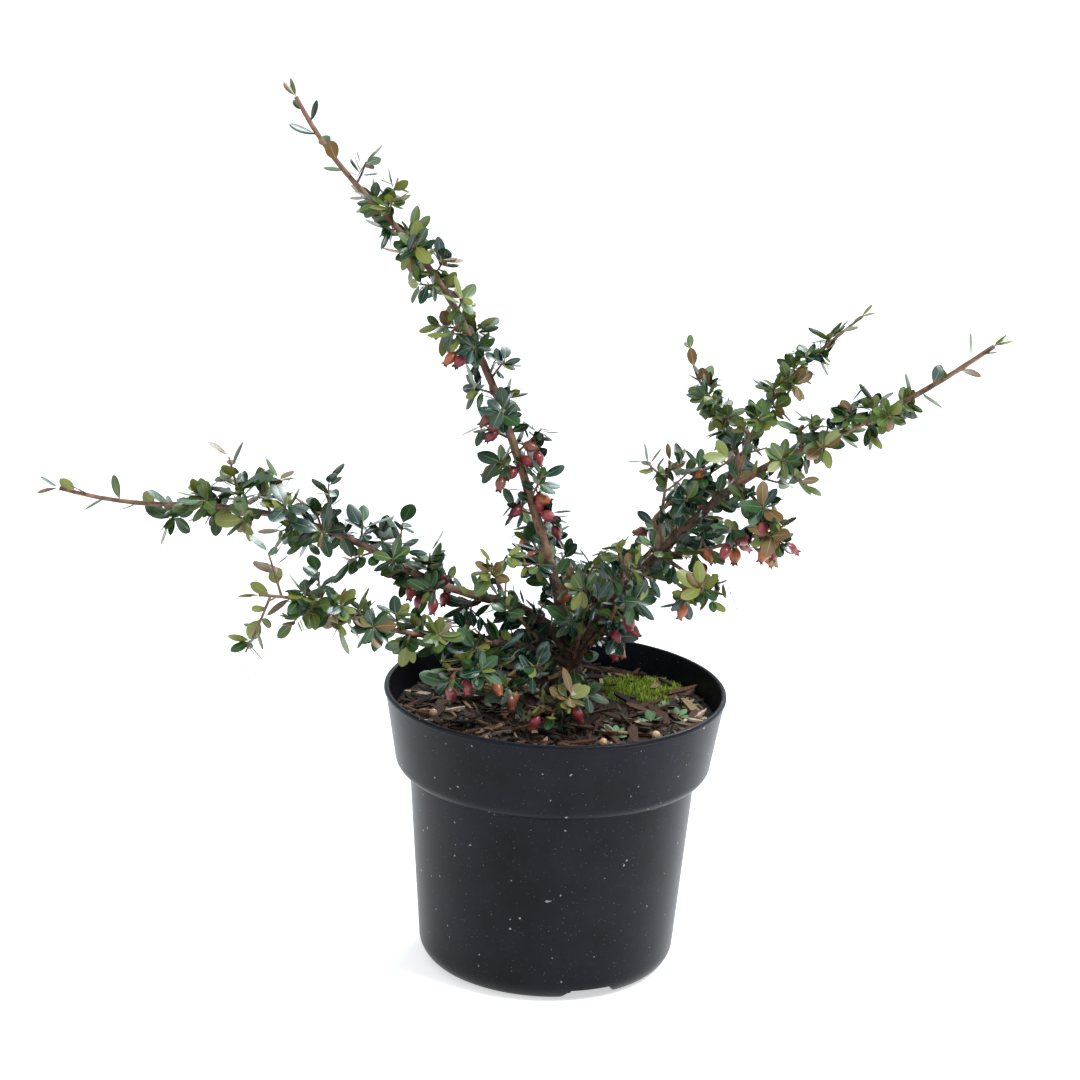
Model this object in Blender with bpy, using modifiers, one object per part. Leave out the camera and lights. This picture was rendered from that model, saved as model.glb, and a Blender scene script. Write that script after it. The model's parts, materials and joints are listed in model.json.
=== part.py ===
"""Potted bearberry cotoneaster: a young, arching shrub in a 17 cm nursery pot.

Metres, +Z up. The origin is the centre of the pot's underside. +X is the plant's right and -Y its front.
A heading is an angle in plan: 0 points to +X, 90 to +Y. An elevation is an angle above the level.
"""

import math
import random

import bmesh
import bpy
import numpy as np
from mathutils import Matrix, Vector, noise

# Pot: outer radii and heights
RIM_RADIUS = 0.0850
POT_HEIGHT = 0.1426
WALL = 0.0018
LIP_DEPTH = 0.0020
LIP_STEP = 0.0008
COLLAR_FOOT = (0.0788, 0.1077)
NECK = (0.0712, 0.1003)
WALL_FOOT = (0.0641, 0.0120)
FOOT_RADIUS = 0.0530
FOOT_INNER_RADIUS = 0.0480
FLOOR_UNDERSIDE = 0.0065
CENTRE_PAD_RADIUS = 0.0160
POT_SEGMENTS = 40
CORNER_STEPS = 3
NOTCH_HEADINGS = (292, 52, 172)
NOTCH_WIDTH_LOW = 0.034
NOTCH_WIDTH_HIGH = 0.024
DRAIN_HOLES = 6
DRAIN_RADIUS = 0.0045
DRAIN_CIRCLE = 0.0340

# Potting mix, moss and trunk
CLEAR = 0.0003
SOIL_LEVEL = 0.1300
SOIL_RINGS = (0.0800, 0.0700, 0.0560, 0.0420, 0.0280, 0.0140)
SOIL_SEGMENTS = 24
SOIL_BUMP = 0.0016
SOIL_BUMP_SIZE = 0.016
FLAT_ROUND_TRUNK = 0.014
MOSS_CENTRE = (0.041, 0.038)
MOSS_SIZE = (0.022, 0.016, 0.0035)
TRUNK_FOOT = (0.0090, 0.0140)
FORK = (0.0080, 0.0170, 0.1470)
TRUNK_HEIGHTS = (0.1260, 0.1303, 0.1320, 0.1350, 0.1400, 0.1470)
TRUNK_RADII = (0.0100, 0.0082, 0.0066, 0.0057, 0.0053, 0.0050)
ROOT_HEADINGS = (15, 95, 160, 230, 305)
ROOT_REACH = 0.0115
ROOT_RADIUS = 0.0026

# Growth: every shoot is traced in steps, carries a node every NODE_GAP, and keeps to its own space
STEP = 0.002
NODE_GAP = 0.0075
GOLDEN_ANGLE = math.radians(137.5)
UP = np.array((0.0, 0.0, 1.0))
TAPER = 0.6
TIP_RADIUS = 0.0006
SPACE_MARGIN = 0.0008
LIMB_MARGIN = 0.0005
TWIG_MARGIN = 0.0011
POT_KEEP_OUT = (0.0815, 0.0865, 0.1445)
SOIL_KEEP_OUT = SOIL_LEVEL + 0.001

# Leaves, twigs and fruit as solids
LEAF_LONGER = 1.22
LEAF_WIDTH = 0.66
LEAF_THICKNESS = 0.0007
LEAF_WIDEST = 0.2
LEAF_ROOT_SINK = 0.0005
LEAF_SPACING = 0.0100
TWIG_RADII = (0.0008, 0.0006)
TWIG_SIDES = 3
FRUIT_LENGTH = 0.0092
FRUIT_RADIUS = 0.0029
FRUIT_SIDES = 5
FRUIT_STALK_RADIUS = 0.0005

# Shoots, in the order they are cut clear of each other.
# parent, leaves_at: the shoot it leaves, and how far along that; None leaves the trunk's fork
# radius: at its foot; arm: the length that belongs to the trunk; bough: where its foliage begins
# spurs: length of its leafy spurs, at even shares of the foliage; blade: leaf length at its foot and tip
# tender: the length below the tip that has single leaves; forks: (place, angle round the shoot, length)
# fruit: (place, angle round the shoot, length of stalk and fruit)
SHOOTS = {
    "upright": dict(
        parent=None, leaves_at=0, length=0.320, radius=0.0029, arm=0.020, bough=0.052,
        headings=(145, 153, 158, 165, 168, 165), elevations=(77, 69, 68, 56, 41, 60),
        spurs=(0.018, 0.017, 0.013, 0.007, 0.002), blade=(0.0115, 0.0120), tender=0.06,
        forks=((0.222, 265, 0.012), (0.248, 40, 0.020), (0.268, 20, 0.012), (0.175, 250, 0.012)),
        fruit=(
            (0.064, 250, 0.010), (0.078, 230, 0.014), (0.082, 350, 0.013), (0.088, 230, 0.014),
            (0.090, 0, 0.012), (0.106, 250, 0.011), (0.110, 340, 0.011), (0.114, 220, 0.021),
            (0.118, 0, 0.014), (0.128, 230, 0.014), (0.132, 250, 0.012), (0.136, 220, 0.014),
            (0.170, 240, 0.016), (0.174, 220, 0.019),
        ),
        seed=1018,
    ),
    "left": dict(
        parent=None, leaves_at=0, length=0.280, radius=0.0027, arm=0.018, bough=0.062,
        headings=(187, 183, 184, 184, 184, 184), elevations=(73, 10, 31, 13, -1, 16),
        spurs=(0.012, 0.014, 0.012, 0.004), blade=(0.0120, 0.0135), tender=0.06,
        forks=(
            (0.090, 0, 0.014), (0.108, 10, 0.020), (0.145, 5, 0.024),
            (0.168, 0, 0.020), (0.189, 0, 0.028), (0.150, 180, 0.012),
        ),
        fruit=((0.066, 310, 0.011), (0.070, 220, 0.014), (0.086, 330, 0.011), (0.092, 200, 0.016), (0.098, 230, 0.014)),
        seed=1003,
    ),
    "low_left": dict(
        parent=None, leaves_at=0, length=0.184, radius=0.0020, arm=0.015, bough=0.050,
        headings=(211, 208, 209, 211, 210), elevations=(38, 10, 15, 28, 9),
        spurs=(0.012, 0.010, 0.008, 0.008), blade=(0.0120, 0.0125), tender=0.02,
        forks=((0.172, 20, 0.022), (0.178, 200, 0.030), (0.150, 10, 0.016), (0.156, 180, 0.012)),
        fruit=(),
        seed=1048,
    ),
    "right": dict(
        parent=None, leaves_at=0, length=0.281, radius=0.0029, arm=0.017, bough=0.134,
        headings=(331, 339, 341, 344, 343, 341), elevations=(68, 51, 48, 29, 34, 41),
        spurs=(0.018, 0.012, 0.004, 0.002), blade=(0.0120, 0.0115), tender=0.05,
        forks=((0.160, 150, 0.018), (0.178, 0, 0.016), (0.200, 10, 0.012)),
        fruit=((0.142, 200, 0.013), (0.150, 150, 0.012)),
        seed=1078,
    ),
    "back": dict(
        parent=None, leaves_at=0, length=0.145, radius=0.0024, arm=0.010, bough=0.045,
        headings=(70, 82, 88, 92), elevations=(45, 2, -4, -14),
        spurs=(0.012, 0.012, 0.010, 0.006), blade=(0.0115, 0.0115), tender=0.02,
        forks=(),
        fruit=((0.062, 200, 0.012), (0.088, 150, 0.012)),
        seed=40,
    ),
    "upper_right": dict(
        parent="right", leaves_at=0.134, length=0.105, radius=0.0016, arm=0, bough=0,
        headings=(60, 29, 18, 20), elevations=(72, 57, 40, 37),
        spurs=(0.014, 0.009, 0.004, 0.002), blade=(0.0105, 0.0100), tender=0.02,
        forks=(), fruit=(), seed=1026,
    ),
    "inner_right": dict(
        parent="right", leaves_at=0.134, length=0.090, radius=0.0015, arm=0, bough=0,
        headings=(75, 112, 122, 100), elevations=(42, 32, 27, 42),
        spurs=(0.014, 0.009, 0.004, 0.002), blade=(0.0105, 0.0100), tender=0.02,
        forks=(), fruit=(), seed=1021,
    ),
    "hanging_right": dict(
        parent="right", leaves_at=0.134, length=0.043, radius=0.0011, arm=0, bough=0,
        headings=(312, 303, 292), elevations=(-2, -30, -36),
        spurs=(0.008, 0.008, 0.006), blade=(0.0120, 0.0110), tender=0.002,
        forks=(),
        fruit=((0.040, 100, 0.011), (0.041, 180, 0.012), (0.042, 260, 0.012)),
        seed=71,
    ),
    "front_right": dict(
        parent="right", leaves_at=0.080, length=0.048, radius=0.0013, arm=0, bough=0,
        headings=(305, 305, 294), elevations=(-9, -8, -23),
        spurs=(0.016, 0.014, 0.008), blade=(0.0120, 0.0120), tender=0.002,
        forks=(),
        fruit=((0.032, 120, 0.012), (0.022, 200, 0.013)),
        seed=1060,
    ),
    "top_right": dict(
        parent="right", leaves_at=0.080, length=0.046, radius=0.0013, arm=0, bough=0,
        headings=(100, 60, 39), elevations=(70, 80, 80),
        spurs=(0.018, 0.016, 0.010), blade=(0.0115, 0.0110), tender=0.002,
        forks=(),
        fruit=((0.032, 20, 0.013), (0.034, 90, 0.012), (0.028, 60, 0.012), (0.032, 120, 0.015)),
        seed=1012,
    ),
    "along_right": dict(
        parent="right", leaves_at=0.080, length=0.075, radius=0.0013, arm=0, bough=0,
        headings=(20, 345, 350, 350), elevations=(60, 50, 40, 35),
        spurs=(0.012, 0.014, 0.014), blade=(0.0115, 0.0110), tender=0.002,
        forks=(),
        fruit=((0.048, 200, 0.013), (0.060, 40, 0.012)),
        seed=1044,
    ),
    "under_right": dict(
        parent="right", leaves_at=0.080, length=0.070, radius=0.0013, arm=0, bough=0,
        headings=(330, 325, 340), elevations=(10, 25, 30),
        spurs=(0.010, 0.012, 0.012), blade=(0.0115, 0.0115), tender=0.002,
        forks=(),
        fruit=((0.026, 40, 0.014), (0.034, 90, 0.012), (0.046, 130, 0.012), (0.056, 60, 0.013)),
        seed=1060,
    ),
    "upright_side": dict(
        parent="upright", leaves_at=0.052, length=0.042, radius=0.0011, arm=0, bough=0,
        headings=(218, 220, 221), elevations=(15, 14, -15),
        spurs=(0.003, 0.009, 0.008), blade=(0.0105, 0.0105), tender=0.002,
        forks=(), fruit=(), seed=84,
    ),
    "base_right": dict(
        parent=None, leaves_at=0, length=0.089, radius=0.0016, arm=0, bough=0,
        headings=(312, 318, 288, 239), elevations=(54, 50, 64, 61),
        spurs=(0.014, 0.016, 0.014, 0.008), blade=(0.0115, 0.0110), tender=0.005,
        forks=(),
        fruit=((0.034, 200, 0.018), (0.040, 180, 0.013), (0.048, 220, 0.018)),
        seed=60,
    ),
    "middle": dict(
        parent=None, leaves_at=0, length=0.061, radius=0.0014, arm=0, bough=0,
        headings=(290, 290, 252), elevations=(67, 68, 73),
        spurs=(0.012, 0.014, 0.012), blade=(0.0110, 0.0110), tender=0.005,
        forks=(),
        fruit=((0.022, 200, 0.012), (0.032, 160, 0.011), (0.020, 130, 0.013)),
        seed=59,
    ),
    "base_left": dict(
        parent=None, leaves_at=0, length=0.075, radius=0.0015, arm=0, bough=0,
        headings=(194, 198, 211), elevations=(38, 50, 73),
        spurs=(0.014, 0.014, 0.010), blade=(0.0110, 0.0110), tender=0.005,
        forks=(),
        fruit=((0.028, 240, 0.012), (0.068, 200, 0.011)),
        seed=1044,
    ),
    "base_front_left": dict(
        parent=None, leaves_at=0, length=0.098, radius=0.0016, arm=0, bough=0,
        headings=(240, 232, 227, 222), elevations=(-4, 10, 25, 12),
        spurs=(0.010, 0.014, 0.014, 0.008), blade=(0.0115, 0.0115), tender=0.005,
        forks=(),
        fruit=((0.050, 200, 0.012), (0.066, 240, 0.011), (0.086, 210, 0.012)),
        seed=1012,
    ),
    "base_front": dict(
        parent=None, leaves_at=0, length=0.058, radius=0.0014, arm=0, bough=0,
        headings=(265, 259, 260), elevations=(-8, -5, -4),
        spurs=(0.010, 0.012, 0.010), blade=(0.0115, 0.0120), tender=0.002,
        forks=(),
        fruit=((0.020, 60, 0.011), (0.036, 50, 0.012)),
        seed=15,
    ),
    "back_left": dict(
        parent="back", leaves_at=0.045, length=0.085, radius=0.0015, arm=0, bough=0,
        headings=(135, 108, 108), elevations=(22, 20, 16),
        spurs=(0.010, 0.009, 0.005), blade=(0.0110, 0.0110), tender=0.015,
        forks=(),
        fruit=((0.034, 60, 0.012),),
        seed=1031,
    ),
    "back_right": dict(
        parent="back", leaves_at=0.045, length=0.115, radius=0.0017, arm=0, bough=0,
        headings=(45, 52, 55), elevations=(30, 22, 16),
        spurs=(0.012, 0.010, 0.006), blade=(0.0110, 0.0110), tender=0.015,
        forks=(),
        fruit=((0.040, 120, 0.012), (0.066, 200, 0.012)),
        seed=59,
    ),
}
# The right bough is two limbs: four leafy side shoots leave it where the first one ends
SPLIT_BOUGHS = {"right": 0.080}


def clear_scene():
    for leftover in list(bpy.data.objects):
        bpy.data.objects.remove(leftover, do_unlink=True)


def new_collection(name):
    collection = bpy.data.collections.new(name)
    bpy.context.scene.collection.children.link(collection)
    return collection


def new_material(name, colour, roughness, metallic=0.0):
    material = bpy.data.materials.new(name)
    material.use_nodes = True
    shader = material.node_tree.nodes["Principled BSDF"]
    shader.inputs["Base Color"].default_value = (*colour, 1.0)
    shader.inputs["Roughness"].default_value = roughness
    shader.inputs["Metallic"].default_value = metallic
    return material


def add_object(name, data, collection, material=None):
    obj = bpy.data.objects.new(name, data)
    collection.objects.link(obj)
    if material:
        data.materials.append(material)
    return obj


def mark_as_cutter(obj):
    obj.hide_render = True
    obj.display_type = "WIRE"
    return obj


def mesh_from(obj):
    """The object's mesh with its modifiers applied, in world space."""
    bpy.context.view_layer.update()
    graph = bpy.context.evaluated_depsgraph_get()
    mesh = bpy.data.meshes.new_from_object(obj.evaluated_get(graph))
    mesh.transform(obj.matrix_world)
    return mesh


def weld(mesh, distance=1e-6):
    """Joins the points that a curve's caps and sides, or the ends of a turn, have in common."""
    shape = bmesh.new()
    shape.from_mesh(mesh)
    bmesh.ops.remove_doubles(shape, verts=shape.verts, dist=distance)
    bmesh.ops.recalc_face_normals(shape, faces=shape.faces)
    shape.to_mesh(mesh)
    shape.free()
    return mesh


def unit(vector):
    return vector / np.linalg.norm(vector)


# Shoots: their courses and their spaces


def trace(start, length, headings, elevations):
    """Points along a shoot, one a step, as its heading and elevation ease from knot to knot."""
    count = max(2, round(length / STEP))
    share = (np.arange(count) + 0.5) / count
    knots = np.linspace(0, 1, len(headings))
    heading = np.radians(np.interp(share, knots, headings))
    elevation = np.radians(np.interp(share, knots, elevations))
    flat = np.cos(elevation)
    moves = np.stack([flat * np.cos(heading), flat * np.sin(heading), np.sin(elevation)], axis=1)
    return np.vstack([start, start + np.cumsum(moves, axis=0) * length / count])


def point_on(course, distance):
    """The point at a distance along a course, and the direction there."""
    place = min(max(distance / STEP, 0.0), len(course) - 1.001)
    whole = int(place)
    move = course[whole + 1] - course[whole]
    return course[whole] + move * (place - whole), unit(move)


def round_about(along, angle):
    """The direction square to along, at an angle from its upper side."""
    side = np.cross(along, UP)
    if np.linalg.norm(side) < 0.15:
        side = np.cross(along, (0.0, 1.0, 0.0))
    side = unit(side)
    return math.cos(angle) * np.cross(side, along) + math.sin(angle) * side


def trace_all():
    courses = {}
    for name, shoot in SHOOTS.items():
        start = np.array(FORK)
        if shoot["parent"]:
            start, _ = point_on(courses[shoot["parent"]], shoot["leaves_at"])
        courses[name] = trace(start, shoot["length"], shoot["headings"], shoot["elevations"])
    return courses


COURSES = trace_all()


def radius_at(name, distance):
    shoot = SHOOTS[name]
    return max(shoot["radius"] * (1 - TAPER * distance / shoot["length"]), TIP_RADIUS)


class Spaces:
    """Which points belong to a shoot's own space: nearer to its stem than to any other, and clear of limbs."""

    def __init__(self):
        stems, owners, stem_radii, limbs, limb_radii = [], [], [], [], []
        for name, shoot in SHOOTS.items():
            for number, point in enumerate(COURSES[name]):
                distance = number * STEP
                if distance <= shoot["bough"]:
                    limbs.append(point)
                    limb_radii.append(radius_at(name, distance))
                elif number % 2:
                    stems.append(point)
                    owners.append(name)
                    stem_radii.append(radius_at(name, distance))
        for share in np.linspace(0, 1, 9):
            foot = np.array((*TRUNK_FOOT, SOIL_LEVEL))
            limbs.append(foot + (np.array(FORK) - foot) * share)
            limb_radii.append(float(np.interp(limbs[-1][2], TRUNK_HEIGHTS, TRUNK_RADII)))
        self.stems, self.owners, self.stem_radii = np.array(stems), np.array(owners), np.array(stem_radii)
        self.limbs, self.limb_radii = np.array(limbs), np.array(limb_radii)

    def hold(self, name, points, margin=SPACE_MARGIN):
        points = np.asarray(points)
        from_axis = np.hypot(points[:, 0], points[:, 1])
        inner, outer, top = POT_KEEP_OUT
        if ((points[:, 2] < SOIL_KEEP_OUT) & (from_axis < outer)).any():
            return False
        if ((points[:, 2] < top) & (from_axis > inner) & (from_axis < outer)).any():
            return False
        to_limbs = np.linalg.norm(points[:, None] - self.limbs[None], axis=2) - self.limb_radii
        if to_limbs.min() < max(LIMB_MARGIN, margin):
            return False
        to_stems = np.linalg.norm(points[:, None] - self.stems[None], axis=2)
        own = self.owners == name
        if (to_stems[:, ~own] - self.stem_radii[~own]).min() < margin:
            return False
        return bool((to_stems[:, own].min(axis=1) + margin < to_stems[:, ~own].min(axis=1)).all())


SPACES = Spaces()


def leaf_reach(root, axis, face, length):
    """Points of a leaf's midrib and edge, to test against the space."""
    half = unit(np.cross(axis, face)) * length * LEAF_WIDTH / 2
    middle = root + axis * length * 0.72
    midrib = [root + axis * length * share for share in (0.3, 0.72, 1.0, LEAF_LONGER)]
    edge = [middle - half, middle + half]
    between = [(corner + end) / 2 for corner in edge for end in (midrib[0], midrib[3])]
    return midrib + edge + between


def jitter(draw):
    return np.array([draw.uniform(-0.35, 0.35) for _ in range(3)])


def grow_spur(name, draw, spot, along, out, reach, size):
    """A short spur with a tuft of leaves at its end: its two ends, and its leaves."""
    heading = unit(out + along * draw.uniform(0.2, 0.7) + UP * 0.25)
    end = spot + heading * reach
    fits = SPACES.hold(name, [spot + heading * reach * share for share in (0.4, 0.6, 0.8, 1.0)], TWIG_MARGIN)
    leaves = []
    count = draw.choice((4, 4, 5, 5))
    turn = draw.uniform(0, 2 * math.pi)
    for number in range(count):
        spread = math.radians(draw.uniform(35, 80))
        root = spot + heading * reach * (1 - 0.12 * number)
        opened = round_about(heading, turn + number * GOLDEN_ANGLE)
        axis = unit(math.cos(spread) * heading + math.sin(spread) * opened)
        face = unit(heading * 0.7 + UP * 0.6 + jitter(draw))
        length = size * draw.uniform(0.8, 1.1)
        if fits and SPACES.hold(name, leaf_reach(root, axis, face, length)):
            leaves.append((root, axis, face, length))
    return ([(spot, end)] if leaves else []), leaves


def grow_single(name, draw, spot, along, out, from_tip, size):
    """One leaf straight on the shoot."""
    spread = math.radians(draw.uniform(40, 65) * min(1, 0.45 + from_tip / 0.03))
    axis = unit(math.cos(spread) * along + math.sin(spread) * out + UP * 0.12)
    face = unit(along * 0.6 + UP * 0.7 + jitter(draw))
    length = size * min(1, 0.55 + from_tip / 0.03)
    if SPACES.hold(name, leaf_reach(spot, axis, face, length)):
        return [(spot, axis, face, length)]
    return []


def grow_fork(name, draw, place, turned, reach):
    """A side twig at a set place, with leaves along it."""
    spot, along = point_on(COURSES[name], place)
    heading = unit(round_about(along, math.radians(turned)) + along * 0.45)
    leaves = []
    count = max(2, round(reach / 0.006))
    turn = draw.uniform(0, 2 * math.pi)
    for number in range(count):
        share = (number + 1) / count
        spread = math.radians(60 - 30 * share)
        opened = round_about(heading, turn + number * GOLDEN_ANGLE)
        axis = unit(math.cos(spread) * heading + math.sin(spread) * opened)
        face = unit(heading * 0.7 + UP * 0.6 + jitter(draw))
        length = SHOOTS[name]["blade"][1] * draw.uniform(0.75, 1.05)
        root = spot + heading * reach * share
        if SPACES.hold(name, leaf_reach(root, axis, face, length)):
            leaves.append((root, axis, face, length))
    return (spot, spot + heading * reach), leaves


def grow(name):
    """The twigs and leaves of one shoot."""
    shoot = SHOOTS[name]
    course, length = COURSES[name], shoot["length"]
    draw = random.Random(shoot["seed"])
    twigs, leaves = [], []
    phase = draw.uniform(0, 2 * math.pi)
    distance = max(shoot["bough"], shoot["radius"] * 3 + 0.003) + 0.002
    number = 0
    while distance < length - 0.002:
        spot, along = point_on(course, distance)
        out = round_about(along, phase + number * GOLDEN_ANGLE + draw.uniform(-0.3, 0.3))
        leafy_share = (distance - shoot["bough"]) / (length - shoot["bough"])
        spur = float(np.interp(leafy_share, np.linspace(0, 1, len(shoot["spurs"])), shoot["spurs"]))
        size = float(np.interp(distance / length, (0, 1), shoot["blade"])) * draw.uniform(0.8, 1.15)
        from_tip = length - distance
        if spur > 0.003 and from_tip > shoot["tender"]:
            reach = spur * draw.uniform(0.55, 1.2)
            new_twigs, new_leaves = grow_spur(name, draw, spot, along, out, reach, size)
            twigs += new_twigs
            leaves += new_leaves
        else:
            leaves += grow_single(name, draw, spot, along, out, from_tip, size)
        number += 1
        distance += NODE_GAP * draw.uniform(0.8, 1.2) * min(1.0, 0.5 + from_tip / 0.05)
    for place, turned, reach in shoot["forks"]:
        twig, new_leaves = grow_fork(name, draw, place, turned, reach)
        twigs.append(twig)
        leaves += new_leaves
    spot, along = point_on(course, length)
    for turned in (0, math.pi):
        axis = unit(along + round_about(along, phase + turned) * 0.35)
        leaf = (spot, axis, unit(UP + along * 0.3), shoot["blade"][1] * 0.7)
        if SPACES.hold(name, leaf_reach(*leaf)):
            leaves.append(leaf)
    return twigs, leaves


def thinned(leaves):
    """The leaves whose middles stay apart, from the tip down, as larger ones stand in for the rest."""
    kept, middles = [], []
    for leaf in leaves[::-1]:
        root, axis, _, length = leaf
        middle = root + axis * length * 0.55
        if all(np.linalg.norm(middle - other) > LEAF_SPACING for other in middles):
            kept.append(leaf)
            middles.append(middle)
    return kept


def carries_leaf(ends, leaves):
    """Whether a leaf's root lies on the twig, past its foot."""
    start, end = ends
    length = np.linalg.norm(end - start)
    for root, *_ in leaves:
        to_foot, to_end = np.linalg.norm(root - start), np.linalg.norm(root - end)
        if to_foot > STEP and to_foot + to_end < length + 1e-6:
            return True
    return False


def fruit_of(name):
    """Each fruit as the spot on the shoot, the way it hangs and how far its end reaches."""
    found = []
    for place, turned, reach in SHOOTS[name]["fruit"]:
        spot, along = point_on(COURSES[name], place)
        hang = unit(round_about(along, math.radians(turned)) - UP * 0.5)
        ends = [spot + hang * (reach - FRUIT_LENGTH * share) for share in (0.5, 0.2, -0.3)]
        if SPACES.hold(name, ends, FRUIT_RADIUS):
            found.append((spot, hang, reach))
    return found


# Solids


def add_tube(name, points, radii, collection, material=None, sides=6):
    """A tapering limb through the points, as a curve with filled caps."""
    curve = bpy.data.curves.new(name, "CURVE")
    curve.dimensions = "3D"
    curve.bevel_depth = 1.0
    curve.bevel_resolution = sides // 2 - 2
    curve.use_fill_caps = True
    spline = curve.splines.new("POLY")
    spline.points.add(len(points) - 1)
    for knot, point, radius in zip(spline.points, points, radii):
        knot.co = (*point, 1.0)
        knot.radius = radius
    guide = add_object(name + "_curve", curve, collection)
    solid = add_object(name, weld(mesh_from(guide)), collection, material)
    bpy.data.objects.remove(guide, do_unlink=True)
    return solid


def stretch(name, start, end, spacing):
    """Points and radii along part of a shoot, from start to end."""
    count = max(1, round((end - start) / spacing))
    places = [start + (end - start) * number / count for number in range(count + 1)]
    points = [point_on(COURSES[name], place)[0] for place in places]
    return points, [radius_at(name, place) for place in places]


def place_shape(shape, centre, basis):
    """Moves a unit shape so that its X, Y and Z axes become the three vectors of basis."""
    matrix = Matrix([[*row] for row in np.array(basis).T]).to_4x4()
    matrix.translation = Vector(centre)
    bmesh.ops.transform(shape, matrix=matrix, verts=shape.verts)


def shape_object(name, shape, collection):
    mesh = bpy.data.meshes.new(name)
    shape.to_mesh(mesh)
    shape.free()
    return add_object(name, mesh, collection)


def add_leaf(leaf, collection):
    """A thin eight-faced blade, widest beyond its middle, with its root sunk in the twig."""
    root, axis, face, length = leaf
    root = root - axis * LEAF_ROOT_SINK
    side = unit(np.cross(axis, face))
    face = np.cross(side, axis)
    half_length = length * LEAF_LONGER / 2
    shape = bmesh.new()
    bmesh.ops.create_uvsphere(shape, u_segments=4, v_segments=2, radius=1)
    for corner in shape.verts:
        if abs(corner.co.z) < 0.5:
            corner.co.z += LEAF_WIDEST
    basis = (face * LEAF_THICKNESS / 2, side * length * LEAF_WIDTH / 2, axis * half_length)
    place_shape(shape, root + axis * half_length, basis)
    return shape_object("leaf", shape, collection)


def add_twig(start, end, radii, collection):
    """A three-sided twig from one point to another."""
    axis = unit(end - start)
    side = round_about(axis, 0.0)
    length = np.linalg.norm(end - start)
    shape = bmesh.new()
    bmesh.ops.create_cone(
        shape, cap_ends=True, segments=TWIG_SIDES, radius1=radii[0], radius2=radii[1], depth=length
    )
    place_shape(shape, (start + end) / 2, (side, np.cross(axis, side), axis))
    return shape_object("twig", shape, collection)


def add_fruit(fruit, collection):
    """An egg-shaped fruit, wider towards its far end, on a three-sided stalk."""
    spot, hang, reach = fruit
    centre = spot + hang * (reach - FRUIT_LENGTH / 2)
    side = round_about(hang, 0.0)
    shape = bmesh.new()
    bmesh.ops.create_uvsphere(shape, u_segments=FRUIT_SIDES, v_segments=3, radius=1)
    for corner in shape.verts:
        if corner.co.z < 0:
            corner.co.x *= 0.8
            corner.co.y *= 0.8
    basis = (side * FRUIT_RADIUS, np.cross(hang, side) * FRUIT_RADIUS, hang * FRUIT_LENGTH / 2)
    place_shape(shape, centre, basis)
    body = shape_object("fruit", shape, collection)
    stalk = add_twig(spot, centre, (FRUIT_STALK_RADIUS, FRUIT_STALK_RADIUS), collection)
    return [body, stalk]


def subtract(target, cutters):
    """Cuts each cutter from the target in turn, applying each cut."""
    for cutter in cutters:
        cut = target.modifiers.new("cut", "BOOLEAN")
        cut.operation = "DIFFERENCE"
        cut.object = cutter
        cut.solver = "MANIFOLD"
        mesh = mesh_from(target)
        target.modifiers.clear()
        target.data = mesh


def unite(target, pieces_collection, solver="MANIFOLD"):
    """Joins all of a collection to the target in one union, then removes the collection."""
    join = target.modifiers.new("join", "BOOLEAN")
    join.operation = "UNION"
    join.operand_type = "COLLECTION"
    join.collection = pieces_collection
    join.solver = solver
    mesh = mesh_from(target)
    target.modifiers.clear()
    target.data = mesh
    for piece in list(pieces_collection.objects):
        bpy.data.objects.remove(piece, do_unlink=True)
    bpy.data.collections.remove(pieces_collection)


def islands_of(shape):
    """The separate shells of a mesh, each as its faces."""
    unseen = set(shape.faces)
    found = []
    while unseen:
        island, front = [], [unseen.pop()]
        while front:
            face = front.pop()
            island.append(face)
            for edge in face.edges:
                for neighbour in edge.link_faces:
                    if neighbour in unseen:
                        unseen.remove(neighbour)
                        front.append(neighbour)
        found.append(island)
    return found


def keep_main_body(target, key=len):
    """Keeps the shell with the highest key, which drops loose scraps and fills sealed hollows."""
    shape = bmesh.new()
    shape.from_mesh(target.data)
    islands = islands_of(shape)
    main = max(islands, key=key)
    for island in islands:
        if island is not main:
            bmesh.ops.delete(shape, geom=island, context="FACES")
    bmesh.ops.delete(shape, geom=[v for v in shape.verts if not v.link_faces], context="VERTS")
    shape.to_mesh(target.data)
    shape.free()


def materials_of(obj, material):
    obj.data.materials.clear()
    obj.data.materials.append(material)


# Pot, potting mix and moss


def quarter_round(start, end, steps, bulge_out):
    """Points of a quarter ellipse between two profile points, leaving the first of them straight down."""
    points = []
    for number in range(1, steps):
        angle = math.pi / 2 * number / steps
        if bulge_out:
            share_r, share_z = 1 - math.cos(angle), math.sin(angle)
        else:
            share_r, share_z = math.sin(angle), 1 - math.cos(angle)
        points.append((start[0] + (end[0] - start[0]) * share_r, start[1] + (end[1] - start[1]) * share_z))
    return points


def inner_radius(height):
    """The pot's inner wall at a height."""
    heights = (WALL_FOOT[1], NECK[1], COLLAR_FOOT[1], POT_HEIGHT)
    radii = (WALL_FOOT[0], NECK[0], COLLAR_FOOT[0], RIM_RADIUS - LIP_STEP)
    return float(np.interp(height, heights, radii)) - WALL


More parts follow.
